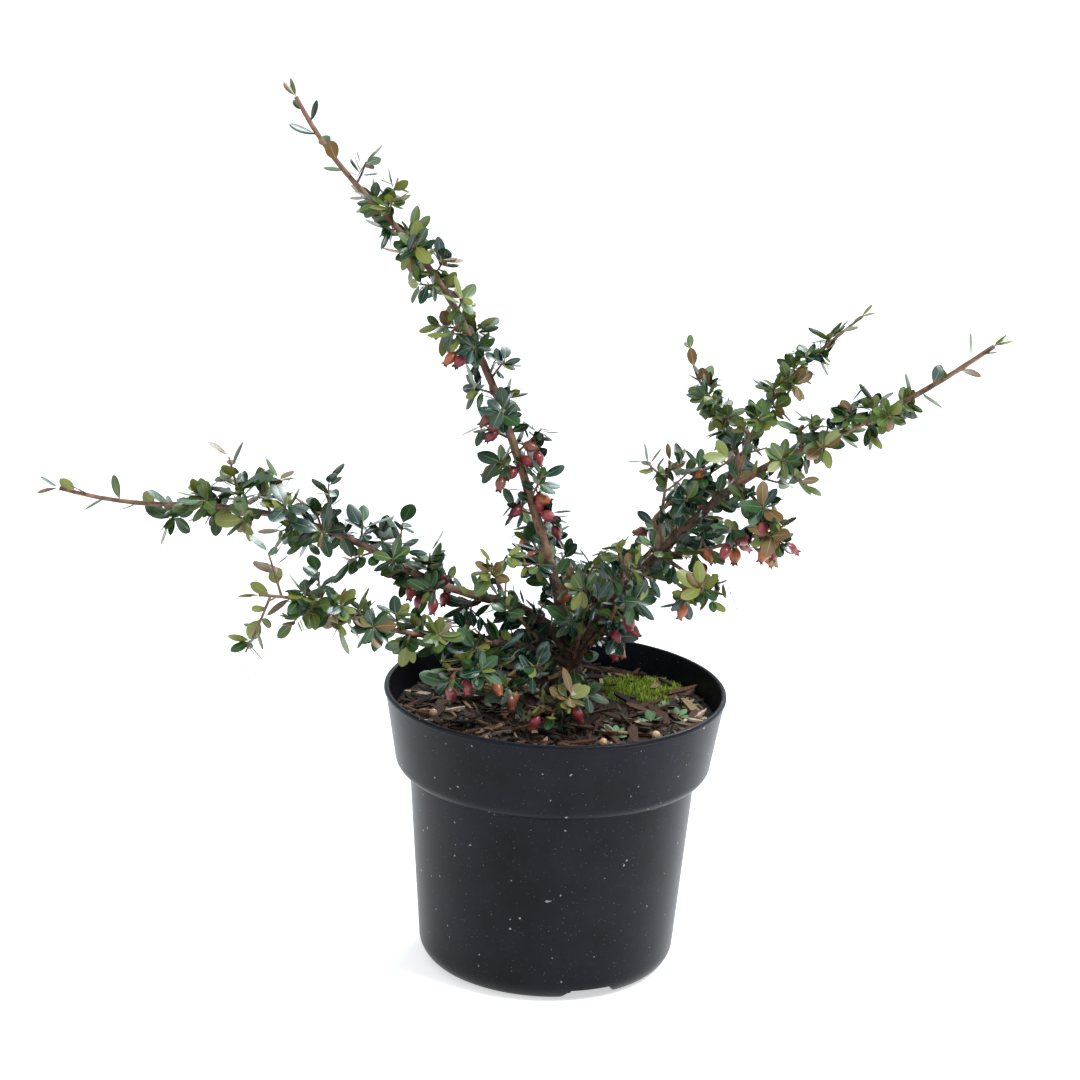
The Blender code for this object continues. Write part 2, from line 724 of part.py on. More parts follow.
def pot_profile():
    floor_top = FLOOR_UNDERSIDE + WALL
    edge = 0.0005
    inside = [
        (0, floor_top),
        (FOOT_RADIUS + 0.003, floor_top),
        (inner_radius(WALL_FOOT[1]) - 0.001, WALL_FOOT[1] + 0.001),
        (inner_radius(NECK[1]), NECK[1]),
        (inner_radius(COLLAR_FOOT[1]), COLLAR_FOOT[1]),
        (inner_radius(POT_HEIGHT), POT_HEIGHT - edge),
    ]
    lip = [
        (inner_radius(POT_HEIGHT) + edge, POT_HEIGHT),
        (RIM_RADIUS - edge, POT_HEIGHT),
        (RIM_RADIUS, POT_HEIGHT - edge),
        (RIM_RADIUS, POT_HEIGHT - LIP_DEPTH),
        (RIM_RADIUS - LIP_STEP, POT_HEIGHT - LIP_DEPTH - edge),
    ]
    outside = [COLLAR_FOOT, *quarter_round(COLLAR_FOOT, NECK, CORNER_STEPS, True), NECK]
    foot_outer = (FOOT_RADIUS, 0)
    outside += [WALL_FOOT, *quarter_round(WALL_FOOT, foot_outer, CORNER_STEPS, True), foot_outer]
    underside = [
        (FOOT_INNER_RADIUS, 0),
        (FOOT_INNER_RADIUS - 0.0015, FLOOR_UNDERSIDE),
        (CENTRE_PAD_RADIUS + 0.001, FLOOR_UNDERSIDE),
        (CENTRE_PAD_RADIUS, 0),
        (0, 0),
    ]
    return inside + lip + outside + underside


def turned(name, profile, steps, collection, material):
    """A solid turned round the Z axis from its profile."""
    mesh = bpy.data.meshes.new(name)
    mesh.from_pydata([(r, 0, z) for r, z in profile], [(i, i + 1) for i in range(len(profile) - 1)], [])
    guide = add_object(name + "_profile", mesh, collection)
    screw = guide.modifiers.new("turn", "SCREW")
    screw.steps = screw.render_steps = steps
    screw.use_merge_vertices = True
    screw.merge_threshold = 0.0001
    solid = add_object(name, weld(mesh_from(guide)), collection, material)
    bpy.data.objects.remove(guide, do_unlink=True)
    return solid


def notch_cutter(heading, collection):
    """A wedge that cuts a gap in the foot ring, wider at the ground."""
    shape = bmesh.new()
    bmesh.ops.create_cube(shape, size=1)
    depth, below = 0.040, 0.004
    for corner in shape.verts:
        high = corner.co.z > 0
        corner.co.x = FOOT_RADIUS + corner.co.x * depth
        corner.co.y *= NOTCH_WIDTH_HIGH if high else NOTCH_WIDTH_LOW
        corner.co.z = FLOOR_UNDERSIDE - 0.0003 if high else -below
    cutter = shape_object("notch_cutter", shape, collection)
    cutter.rotation_euler.z = math.radians(heading)
    return mark_as_cutter(cutter)


def drain_cutter(number, collection):
    shape = bmesh.new()
    bmesh.ops.create_cone(
        shape, cap_ends=True, segments=10, radius1=DRAIN_RADIUS, radius2=DRAIN_RADIUS, depth=0.006
    )
    cutter = shape_object("drain_cutter", shape, collection)
    angle = 2 * math.pi * (number + 0.5) / DRAIN_HOLES
    centre_height = FLOOR_UNDERSIDE + WALL / 2
    cutter.location = (DRAIN_CIRCLE * math.cos(angle), DRAIN_CIRCLE * math.sin(angle), centre_height)
    return mark_as_cutter(cutter)


def build_pot(collection, cutters, material):
    pot = turned("pot", pot_profile(), POT_SEGMENTS, collection, material)
    tools = [notch_cutter(heading, cutters) for heading in NOTCH_HEADINGS]
    tools += [drain_cutter(number, cutters) for number in range(DRAIN_HOLES)]
    subtract(pot, tools)
    return pot


def build_potting_mix(collection, material):
    """The filled inside of the pot, clear of its wall, with an uneven top."""
    floor = FLOOR_UNDERSIDE + WALL + CLEAR
    wall = [
        (0, floor),
        (FOOT_RADIUS + 0.002, floor),
        (inner_radius(WALL_FOOT[1]) - 0.0016, WALL_FOOT[1] + 0.001),
        (inner_radius(NECK[1]) - CLEAR, NECK[1] + CLEAR),
        (inner_radius(COLLAR_FOOT[1]) - 2 * CLEAR, COLLAR_FOOT[1]),
    ]
    top = [(ring, SOIL_LEVEL) for ring in SOIL_RINGS] + [(0, SOIL_LEVEL)]
    mix = turned("potting_mix", wall + top, SOIL_SEGMENTS, collection, material)
    for corner in mix.data.vertices:
        spot = corner.co
        if spot.z < SOIL_LEVEL - 1e-4:
            continue
        from_trunk = math.hypot(spot.x - TRUNK_FOOT[0], spot.y - TRUNK_FOOT[1])
        from_moss = math.hypot((spot.x - MOSS_CENTRE[0]) / MOSS_SIZE[0], (spot.y - MOSS_CENTRE[1]) / MOSS_SIZE[1])
        if from_trunk < FLAT_ROUND_TRUNK or from_moss < 1.3:
            continue
        spot.z += SOIL_BUMP * (noise.noise(spot / SOIL_BUMP_SIZE) - 0.5)
    return mix


def build_moss(collection, material):
    """A low cushion of moss on the mix."""
    shape = bmesh.new()
    bmesh.ops.create_icosphere(shape, subdivisions=2, radius=1)
    for corner in shape.verts:
        corner.co.z = max(corner.co.z, 0.0)
        corner.co *= 1 + 0.16 * noise.noise(corner.co * 2.5)
        corner.co.z = max(corner.co.z, 0.0)
        corner.co.x *= MOSS_SIZE[0]
        corner.co.y *= MOSS_SIZE[1]
        corner.co.z *= MOSS_SIZE[2]
    bmesh.ops.dissolve_limit(shape, angle_limit=0.001, verts=shape.verts, edges=shape.edges)
    moss = shape_object("moss", shape, collection)
    moss.location = (*MOSS_CENTRE, SOIL_LEVEL + CLEAR)
    materials_of(moss, material)
    return moss


# Trunk, boughs and foliage


def trunk_shapes(collection, grown):
    """The trunk's foot, its root flare and the arms of its fork, all thicker by grown."""
    foot = np.array((*TRUNK_FOOT, SOIL_LEVEL))
    rise = FORK[2] - SOIL_LEVEL
    points = []
    for height in TRUNK_HEIGHTS:
        share = max(0.0, (height - SOIL_LEVEL) / rise)
        points.append((*(foot[:2] + (np.array(FORK[:2]) - foot[:2]) * share), height))
    radii = [radius + grown for radius in TRUNK_RADII]
    shapes = [add_tube("trunk_shape", points, radii, collection, sides=10)]
    for heading in ROOT_HEADINGS:
        angle = math.radians(heading)
        end = foot + np.array((math.cos(angle) * ROOT_REACH, math.sin(angle) * ROOT_REACH, -0.0015))
        start = foot + UP * 0.0050
        shapes.append(add_tube("root_shape", (start, end), (ROOT_RADIUS + grown, 0.001 + grown), collection))
    for name, shoot in SHOOTS.items():
        if shoot["arm"]:
            points, radii = stretch(name, 0, shoot["arm"] + grown, 0.006)
            shapes.append(add_tube("arm_shape", points, [r + grown for r in radii], collection))
    return shapes


def ground_cutter(collection):
    """Takes all that reaches below the flat foot of the trunk."""
    shape = bmesh.new()
    bmesh.ops.create_cube(shape, size=0.06)
    cutter = shape_object("ground_cutter", shape, collection)
    cutter.location = (*TRUNK_FOOT, SOIL_LEVEL + CLEAR - 0.03)
    return mark_as_cutter(cutter)


def joined_trunk(name, collection, grown):
    first, *others = trunk_shapes(collection, grown)
    pieces = new_collection("trunk shapes")
    for piece in others:
        collection.objects.unlink(piece)
        pieces.objects.link(piece)
    unite(first, pieces)
    first.name = name
    return first


def build_trunk(collection, cutters, material):
    trunk = joined_trunk("trunk", collection, 0.0)
    ground = ground_cutter(cutters)
    subtract(trunk, [ground])
    keep_main_body(trunk)
    materials_of(trunk, material)
    return trunk


def build_boughs(trunk_cutter, collection, material):
    """One tapering limb from each arm of the fork to where its foliage begins."""
    for name, shoot in SHOOTS.items():
        if not shoot["bough"]:
            continue
        ends = [shoot["arm"], shoot["bough"]]
        labels = [name + "_bough"]
        if name in SPLIT_BOUGHS:
            ends.insert(1, SPLIT_BOUGHS[name])
            labels.append(name + "_bough_outer")
        for label, start, end in zip(labels, ends, ends[1:]):
            points, radii = stretch(name, start + CLEAR * (start > shoot["arm"]), end, 0.009)
            bough = add_tube(label, points, radii, collection)
            subtract(bough, [trunk_cutter])
            keep_main_body(bough)
            materials_of(bough, material)


def near_cutters(name, stem_start, trunk_cutter, collection):
    """Thickened copies of the limbs and earlier stems that a stem has to stay clear of."""
    found = [trunk_cutter]
    own = COURSES[name]
    for other, shoot in SHOOTS.items():
        if other == name:
            break
        gaps = np.linalg.norm(COURSES[other][:, None] - own[None], axis=2)
        spots, places = np.nonzero(gaps < SHOOTS[name]["radius"] + shoot["radius"] + 2 * CLEAR)
        if not len(spots) or places.max() * STEP < stem_start:
            continue
        start = max(spots.min() * STEP - 0.006, 0)
        end = min(spots.max() * STEP + 0.006, shoot["length"])
        points, radii = stretch(other, start, end, 0.006)
        found.append(add_tube("clearance", points, [r + CLEAR for r in radii], collection))
    return found


def build_foliage(name, trunk_cutter, collection, material):
    """A shoot's leafy part: its stem, then its twigs, leaves and fruit fused on."""
    shoot = SHOOTS[name]
    start = shoot["bough"] + CLEAR if shoot["bough"] else 0.0
    points, radii = stretch(name, start, shoot["length"], 0.015)
    stem = add_tube(name + "_foliage", points, radii, collection, sides=4)
    cutters = []
    if not shoot["bough"]:
        cutters = near_cutters(name, start, trunk_cutter, collection)
        subtract(stem, cutters)
        tip = Vector(COURSES[name][-1])
        keep_main_body(stem, key=lambda island: -min((f.calc_center_median() - tip).length for f in island))
    twigs, leaves = grow(name)
    leaves = thinned(leaves)
    pieces = new_collection(name + " pieces")
    for ends in twigs:
        if carries_leaf(ends, leaves):
            add_twig(*ends, TWIG_RADII, pieces)
    for leaf in leaves:
        add_leaf(leaf, pieces)
    for fruit in fruit_of(name):
        add_fruit(fruit, pieces)
    unite(stem, pieces)
    subtract(stem, cutters)
    keep_main_body(stem)
    materials_of(stem, material)
    for cutter in cutters:
        if cutter is not trunk_cutter:
            bpy.data.objects.remove(cutter, do_unlink=True)
    return stem


def main():
    clear_scene()
    plant = new_collection("potted bearberry cotoneaster")
    cutters = new_collection("cutters")
    plastic = new_material("pot plastic", (0.012, 0.014, 0.022), 0.42)
    compost = new_material("potting mix", (0.060, 0.034, 0.020), 0.95)
    moss = new_material("moss", (0.190, 0.260, 0.030), 0.90)
    bark = new_material("bark", (0.110, 0.055, 0.035), 0.75)
    green = new_material("foliage", (0.045, 0.110, 0.040), 0.40)
    build_pot(plant, cutters, plastic)
    build_potting_mix(plant, compost)
    build_moss(plant, moss)
    build_trunk(plant, cutters, bark)
    trunk_cutter = mark_as_cutter(joined_trunk("trunk_clearance", cutters, CLEAR))
    build_boughs(trunk_cutter, plant, bark)
    for name in SHOOTS:
        build_foliage(name, trunk_cutter, plant, green)


main()
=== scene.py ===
import json
import math
import random

import bmesh
import bpy
import numpy as np
from mathutils import Matrix, Vector, noise

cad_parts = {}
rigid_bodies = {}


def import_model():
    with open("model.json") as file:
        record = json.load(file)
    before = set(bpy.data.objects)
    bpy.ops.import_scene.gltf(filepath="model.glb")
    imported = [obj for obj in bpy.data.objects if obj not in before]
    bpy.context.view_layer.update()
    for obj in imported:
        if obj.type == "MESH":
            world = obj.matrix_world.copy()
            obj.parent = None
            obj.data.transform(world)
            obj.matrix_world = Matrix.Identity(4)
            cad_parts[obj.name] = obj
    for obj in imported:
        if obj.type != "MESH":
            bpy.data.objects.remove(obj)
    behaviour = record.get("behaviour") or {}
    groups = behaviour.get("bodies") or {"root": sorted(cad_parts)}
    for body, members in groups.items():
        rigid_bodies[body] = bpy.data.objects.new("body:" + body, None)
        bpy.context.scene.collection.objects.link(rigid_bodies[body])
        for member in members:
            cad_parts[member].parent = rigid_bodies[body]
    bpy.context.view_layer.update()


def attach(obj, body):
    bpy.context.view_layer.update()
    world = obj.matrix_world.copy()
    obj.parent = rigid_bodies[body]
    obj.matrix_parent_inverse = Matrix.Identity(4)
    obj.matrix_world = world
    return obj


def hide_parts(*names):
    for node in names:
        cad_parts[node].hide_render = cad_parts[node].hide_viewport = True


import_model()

# Camera, worked out from the pot's rim and foot in the photograph: metres and degrees
TARGET = (-0.01044, 0.0, 0.21840)
PITCH = 17.101
ROLL = 2.202
DISTANCE = 1.7638
LENS = 120.0
SENSOR = 36.0

# Pot
RIM_RADIUS = 0.0850
POT_HEIGHT = 0.1426
WALL = 0.0018
LIP_DEPTH = 0.0020
LIP_STEP = 0.0008
COLLAR_FOOT = (0.0788, 0.1077)
NECK = (0.0712, 0.1003)
WALL_FOOT = (0.0641, 0.0120)
FOOT_RADIUS = 0.0530
FOOT_INNER_RADIUS = 0.0480
FLOOR_UNDERSIDE = 0.0065
CENTRE_PAD_RADIUS = 0.0160
POT_TURNS = 160
NOTCH_HEADINGS = (292, 52, 172)
NOTCH_WIDTH_LOW = 0.034
NOTCH_WIDTH_HIGH = 0.024

# Potting mix and trunk
SOIL_LEVEL = 0.1300
MOSS_CENTRE = (0.041, 0.038)
MOSS_SIZE = (0.022, 0.016, 0.0035)
TRUNK_FOOT = (0.0090, 0.0140)
FORK = (0.0080, 0.0170, 0.1470)
TRUNK_HEIGHTS = (0.1260, 0.1303, 0.1320, 0.1350, 0.1400, 0.1470)
TRUNK_RADII = (0.0100, 0.0082, 0.0066, 0.0057, 0.0053, 0.0050)

# Growth, by the same rule and the same draws as the solids
STEP = 0.002
NODE_GAP = 0.0075
GOLDEN_ANGLE = math.radians(137.5)
UP = np.array((0.0, 0.0, 1.0))
TAPER = 0.6
TIP_RADIUS = 0.0006
SPACE_MARGIN = 0.0008
LIMB_MARGIN = 0.0005
TWIG_MARGIN = 0.0011
POT_KEEP_OUT = (0.0815, 0.0865, 0.1445)
SOIL_KEEP_OUT = SOIL_LEVEL + 0.001
LEAF_LONGER = 1.22
LEAF_WIDTH = 0.66
FRUIT_LENGTH = 0.0092
FRUIT_RADIUS = 0.0029
FRUIT_MARGIN = 0.0012

# Shoots, in the order they grow: a parent comes before the shoots that leave it.
# parent, leaves_at: the shoot it leaves, and how far along that; None leaves the trunk's fork
# radius: at its foot; arm: the length that belongs to the trunk; bough: where its foliage begins
# spurs: length of its leafy spurs, at even shares of the foliage; blade: leaf length at its foot and tip
# tender: the length below the tip that has single leaves; forks: (place, angle round the shoot, length)
# fruit: (place, angle round the shoot, length of stalk and fruit)
USUAL_SHOOT = dict(parent=None, leaves_at=0, arm=0, bough=0, tender=0.002, forks=(), fruit=())


def shoot_with(**values):
    """A shoot's own values, with the usual ones for the rest."""
    return dict(USUAL_SHOOT, **values)


SHOOTS = {
    "upright": shoot_with(
        length=0.320, radius=0.0029, arm=0.020, bough=0.052,
        headings=(145, 153, 158, 165, 168, 165), elevations=(77, 69, 68, 56, 41, 60),
        spurs=(0.018, 0.017, 0.013, 0.007, 0.002), blade=(0.0115, 0.0120), tender=0.06,
        forks=((0.222, 265, 0.012), (0.248, 40, 0.020), (0.268, 20, 0.012), (0.175, 250, 0.012)),
        fruit=(
            (0.064, 250, 0.010), (0.078, 230, 0.014), (0.082, 350, 0.013), (0.088, 230, 0.014),
            (0.090, 0, 0.012), (0.106, 250, 0.011), (0.110, 340, 0.011), (0.114, 220, 0.021),
            (0.118, 0, 0.014), (0.128, 230, 0.014), (0.132, 250, 0.012), (0.136, 220, 0.014),
            (0.170, 240, 0.016), (0.174, 220, 0.019),
        ),
        seed=1018,
    ),
    "left": shoot_with(
        length=0.280, radius=0.0027, arm=0.018, bough=0.062,
        headings=(187, 183, 184, 184, 184, 184), elevations=(73, 10, 31, 13, -1, 16),
        spurs=(0.012, 0.014, 0.012, 0.004), blade=(0.0120, 0.0135), tender=0.06,
        forks=(
            (0.090, 0, 0.014), (0.108, 10, 0.020), (0.145, 5, 0.024),
            (0.168, 0, 0.020), (0.189, 0, 0.028), (0.150, 180, 0.012),
        ),
        fruit=(
            (0.066, 310, 0.011), (0.070, 220, 0.014), (0.086, 330, 0.011), (0.092, 200, 0.016),
            (0.098, 230, 0.014),
        ),
        seed=1003,
    ),
    "low_left": shoot_with(
        length=0.184, radius=0.0020, arm=0.015, bough=0.050,
        headings=(211, 208, 209, 211, 210), elevations=(38, 10, 15, 28, 9),
        spurs=(0.012, 0.010, 0.008, 0.008), blade=(0.0120, 0.0125), tender=0.02,
        forks=((0.172, 20, 0.022), (0.178, 200, 0.030), (0.150, 10, 0.016), (0.156, 180, 0.012)),
        seed=1048,
    ),
    "right": shoot_with(
        length=0.281, radius=0.0029, arm=0.017, bough=0.134,
        headings=(331, 339, 341, 344, 343, 341), elevations=(68, 51, 48, 29, 34, 41),
        spurs=(0.018, 0.012, 0.004, 0.002), blade=(0.0120, 0.0115), tender=0.05,
        forks=((0.160, 150, 0.018), (0.178, 0, 0.016), (0.200, 10, 0.012)),
        fruit=((0.142, 200, 0.013), (0.150, 150, 0.012)),
        seed=1078,
    ),
    "back": shoot_with(
        length=0.145, radius=0.0024, arm=0.010, bough=0.045,
        headings=(70, 82, 88, 92), elevations=(45, 2, -4, -14),
        spurs=(0.012, 0.012, 0.010, 0.006), blade=(0.0115, 0.0115), tender=0.02,
        fruit=((0.062, 200, 0.012), (0.088, 150, 0.012)),
        seed=40,
    ),
    "upper_right": shoot_with(
        parent="right", leaves_at=0.134, length=0.105, radius=0.0016,
        headings=(60, 29, 18, 20), elevations=(72, 57, 40, 37),
        spurs=(0.014, 0.009, 0.004, 0.002), blade=(0.0105, 0.0100), tender=0.02,
        seed=1026,
    ),
    "inner_right": shoot_with(
        parent="right", leaves_at=0.134, length=0.090, radius=0.0015,
        headings=(75, 112, 122, 100), elevations=(42, 32, 27, 42),
        spurs=(0.014, 0.009, 0.004, 0.002), blade=(0.0105, 0.0100), tender=0.02,
        seed=1021,
    ),
    "hanging_right": shoot_with(
        parent="right", leaves_at=0.134, length=0.043, radius=0.0011,
        headings=(312, 303, 292), elevations=(-2, -30, -36),
        spurs=(0.008, 0.008, 0.006), blade=(0.0120, 0.0110),
        fruit=((0.040, 100, 0.011), (0.041, 180, 0.012), (0.042, 260, 0.012)),
        seed=71,
    ),
    "front_right": shoot_with(
        parent="right", leaves_at=0.080, length=0.048, radius=0.0013,
        headings=(305, 305, 294), elevations=(-9, -8, -23),
        spurs=(0.016, 0.014, 0.008), blade=(0.0120, 0.0120),
        fruit=((0.032, 120, 0.012), (0.022, 200, 0.013)),
        seed=1060,
    ),
    "top_right": shoot_with(
        parent="right", leaves_at=0.080, length=0.046, radius=0.0013,
        headings=(100, 60, 39), elevations=(70, 80, 80),
        spurs=(0.018, 0.016, 0.010), blade=(0.0115, 0.0110),
        fruit=((0.032, 20, 0.013), (0.034, 90, 0.012), (0.028, 60, 0.012), (0.032, 120, 0.015)),
        seed=1012,
    ),
    "along_right": shoot_with(
        parent="right", leaves_at=0.080, length=0.075, radius=0.0013,
        headings=(20, 345, 350, 350), elevations=(60, 50, 40, 35),
        spurs=(0.012, 0.014, 0.014), blade=(0.0115, 0.0110),
        fruit=((0.048, 200, 0.013), (0.060, 40, 0.012)),
        seed=1044,
    ),
    "under_right": shoot_with(
        parent="right", leaves_at=0.080, length=0.070, radius=0.0013,
        headings=(330, 325, 340), elevations=(10, 25, 30),
        spurs=(0.010, 0.012, 0.012), blade=(0.0115, 0.0115),
        fruit=((0.026, 40, 0.014), (0.034, 90, 0.012), (0.046, 130, 0.012), (0.056, 60, 0.013)),
        seed=1060,
    ),
    "upright_side": shoot_with(
        parent="upright", leaves_at=0.052, length=0.042, radius=0.0011,
        headings=(218, 220, 221), elevations=(15, 14, -15),
        spurs=(0.003, 0.009, 0.008), blade=(0.0105, 0.0105),
        seed=84,
    ),
    "base_right": shoot_with(
        length=0.089, radius=0.0016,
        headings=(312, 318, 288, 239), elevations=(54, 50, 64, 61),
        spurs=(0.014, 0.016, 0.014, 0.008), blade=(0.0115, 0.0110), tender=0.005,
        fruit=((0.034, 200, 0.018), (0.040, 180, 0.013), (0.048, 220, 0.018)),
        seed=60,
    ),
    "middle": shoot_with(
        length=0.061, radius=0.0014,
        headings=(290, 290, 252), elevations=(67, 68, 73),
        spurs=(0.012, 0.014, 0.012), blade=(0.0110, 0.0110), tender=0.005,
        fruit=((0.022, 200, 0.012), (0.032, 160, 0.011), (0.020, 130, 0.013)),
        seed=59,
    ),
    "base_left": shoot_with(
        length=0.075, radius=0.0015,
        headings=(194, 198, 211), elevations=(38, 50, 73),
        spurs=(0.014, 0.014, 0.010), blade=(0.0110, 0.0110), tender=0.005,
        fruit=((0.028, 240, 0.012), (0.068, 200, 0.011)),
        seed=1044,
    ),
    "base_front_left": shoot_with(
        length=0.098, radius=0.0016,
        headings=(240, 232, 227, 222), elevations=(-4, 10, 25, 12),
        spurs=(0.010, 0.014, 0.014, 0.008), blade=(0.0115, 0.0115), tender=0.005,
        fruit=((0.050, 200, 0.012), (0.066, 240, 0.011), (0.086, 210, 0.012)),
        seed=1012,
    ),
    "base_front": shoot_with(
        length=0.058, radius=0.0014,
        headings=(265, 259, 260), elevations=(-8, -5, -4),
        spurs=(0.010, 0.012, 0.010), blade=(0.0115, 0.0120),
        fruit=((0.020, 60, 0.011), (0.036, 50, 0.012)),
        seed=15,
    ),
    "back_left": shoot_with(
        parent="back", leaves_at=0.045, length=0.085, radius=0.0015,
        headings=(135, 108, 108), elevations=(22, 20, 16),
        spurs=(0.010, 0.009, 0.005), blade=(0.0110, 0.0110), tender=0.015,
        fruit=((0.034, 60, 0.012),),
        seed=1031,
    ),
    "back_right": shoot_with(
        parent="back", leaves_at=0.045, length=0.115, radius=0.0017,
        headings=(45, 52, 55), elevations=(30, 22, 16),
        spurs=(0.012, 0.010, 0.006), blade=(0.0110, 0.0110), tender=0.015,
        fruit=((0.040, 120, 0.012), (0.066, 200, 0.012)),
        seed=59,
    ),
}


def unit(vector):
    return vector / np.linalg.norm(vector)


# Shoots: their courses and their spaces


def trace(start, length, headings, elevations):
    """Points along a shoot, one a step, as its heading and elevation ease from knot to knot."""
    count = max(2, round(length / STEP))
    share = (np.arange(count) + 0.5) / count
    knots = np.linspace(0, 1, len(headings))
    heading = np.radians(np.interp(share, knots, headings))
    elevation = np.radians(np.interp(share, knots, elevations))
    flat = np.cos(elevation)
    moves = np.stack([flat * np.cos(heading), flat * np.sin(heading), np.sin(elevation)], axis=1)
    return np.vstack([start, start + np.cumsum(moves, axis=0) * length / count])


def point_on(course, distance):
    """The point at a distance along a course, and the direction there."""
    place = min(max(distance / STEP, 0.0), len(course) - 1.001)
    whole = int(place)
    move = course[whole + 1] - course[whole]
    return course[whole] + move * (place - whole), unit(move)


def round_about(along, angle):
    """The direction square to along, at an angle from its upper side."""
    side = np.cross(along, UP)
    if np.linalg.norm(side) < 0.15:
        side = np.cross(along, (0.0, 1.0, 0.0))
    side = unit(side)
    return math.cos(angle) * np.cross(side, along) + math.sin(angle) * side


def trace_all():
    courses = {}
    for name, shoot in SHOOTS.items():
        start = np.array(FORK)
        if shoot["parent"]:
            start, _ = point_on(courses[shoot["parent"]], shoot["leaves_at"])
        courses[name] = trace(start, shoot["length"], shoot["headings"], shoot["elevations"])
    return courses


COURSES = trace_all()


def radius_at(name, distance):
    shoot = SHOOTS[name]
    return max(shoot["radius"] * (1 - TAPER * distance / shoot["length"]), TIP_RADIUS)


def clear_of_pot(points, lowest):
    """Whether the points lie out of the pot's wall and, inside it, above a height."""
    x, y, z = np.transpose(points)
    from_axis = np.hypot(x, y)
    inner, outer, top = POT_KEEP_OUT
    in_pot = (z < lowest) & (from_axis < outer)
    in_wall = (z < top) & (from_axis > inner) & (from_axis < outer)
    return not (in_pot | in_wall).any()


class Spaces:
    """Which points belong to a shoot's own space: nearest to its stem, and clear of limbs."""

    def __init__(self):
        stems, owners, limbs = [], [], []
        for name, shoot in SHOOTS.items():
            for number, point in enumerate(COURSES[name]):
                distance = number * STEP
                if distance <= shoot["bough"]:
                    limbs.append((*point, radius_at(name, distance)))
                elif number % 2:
                    stems.append((*point, radius_at(name, distance)))
                    owners.append(name)
        foot, fork = np.array((*TRUNK_FOOT, SOIL_LEVEL)), np.array(FORK)
        for share in np.linspace(0, 1, 9):
            point = foot + (fork - foot) * share
            limbs.append((*point, float(np.interp(point[2], TRUNK_HEIGHTS, TRUNK_RADII))))
        stems, limbs = np.array(stems), np.array(limbs)
        self.stems, self.stem_radii, self.owners = stems[:, :3], stems[:, 3], np.array(owners)
        self.limbs, self.limb_radii = limbs[:, :3], limbs[:, 3]

    def hold(self, name, points, margin=SPACE_MARGIN):
        if not clear_of_pot(points, SOIL_KEEP_OUT):
            return False
        points = np.asarray(points)
        to_limbs = np.linalg.norm(points[:, None] - self.limbs[None], axis=2) - self.limb_radii
        if to_limbs.min() < max(LIMB_MARGIN, margin):
            return False
        to_stems = np.linalg.norm(points[:, None] - self.stems[None], axis=2)
        own = self.owners == name
        if (to_stems[:, ~own] - self.stem_radii[~own]).min() < margin:
            return False
        return bool((to_stems[:, own].min(axis=1) + margin < to_stems[:, ~own].min(axis=1)).all())


SPACES = Spaces()


def leaf_reach(root, axis, face, length):
    """Points of a leaf's midrib and edge, to test against the space."""
    half = unit(np.cross(axis, face)) * length * LEAF_WIDTH / 2
    middle = root + axis * length * 0.72
    midrib = [root + axis * length * share for share in (0.3, 0.72, 1.0, LEAF_LONGER)]
    edge = [middle - half, middle + half]
    between = [(corner + end) / 2 for corner in edge for end in (midrib[0], midrib[3])]
    return midrib + edge + between


def jitter(draw):
    return np.array([draw.uniform(-0.35, 0.35) for _ in range(3)])


def splayed(heading, turned, spread):
    """The way a leaf points that leaves a twig at an angle."""
    return unit(math.cos(spread) * heading + math.sin(spread) * round_about(heading, turned))


def if_it_fits(name, *leaf):
    """The leaf in a list, or an empty list where it would leave the shoot's space."""
    return [leaf] if SPACES.hold(name, leaf_reach(*leaf)) else []


def grow_spur(name, draw, spot, along, out, reach, size):
    """A short spur with a tuft of leaves at its end: its two ends, and its leaves."""
    heading = unit(out + along * draw.uniform(0.2, 0.7) + UP * 0.25)
    end = spot + heading * reach
    fits = SPACES.hold(name, [spot + heading * reach * share for share in (0.4, 0.6, 0.8, 1.0)], TWIG_MARGIN)
    leaves = []
    count = draw.choice((4, 4, 5, 5))
    turn = draw.uniform(0, 2 * math.pi)
    for number in range(count):
        spread = math.radians(draw.uniform(35, 80))
        root = spot + heading * reach * (1 - 0.12 * number)
        axis = splayed(heading, turn + number * GOLDEN_ANGLE, spread)
        face = unit(heading * 0.7 + UP * 0.6 + jitter(draw))
        length = size * draw.uniform(0.8, 1.1)
        if fits:
            leaves += if_it_fits(name, root, axis, face, length)
    return ([(spot, end)] if leaves else []), leaves


def grow_single(name, draw, spot, along, out, from_tip, size):
    """One leaf straight on the shoot."""
    spread = math.radians(draw.uniform(40, 65) * min(1, 0.45 + from_tip / 0.03))
    axis = unit(math.cos(spread) * along + math.sin(spread) * out + UP * 0.12)
    face = unit(along * 0.6 + UP * 0.7 + jitter(draw))
    length = size * min(1, 0.55 + from_tip / 0.03)
    return if_it_fits(name, spot, axis, face, length)


def grow_fork(name, draw, place, turned, reach):
    """A side twig at a set place, with leaves along it."""
    spot, along = point_on(COURSES[name], place)
    heading = unit(round_about(along, math.radians(turned)) + along * 0.45)
    leaves = []
    count = max(2, round(reach / 0.006))
    turn = draw.uniform(0, 2 * math.pi)
    for number in range(count):
        share = (number + 1) / count
        spread = math.radians(60 - 30 * share)
        axis = splayed(heading, turn + number * GOLDEN_ANGLE, spread)
        face = unit(heading * 0.7 + UP * 0.6 + jitter(draw))
        length = SHOOTS[name]["blade"][1] * draw.uniform(0.75, 1.05)
        leaves += if_it_fits(name, spot + heading * reach * share, axis, face, length)
    return (spot, spot + heading * reach), leaves


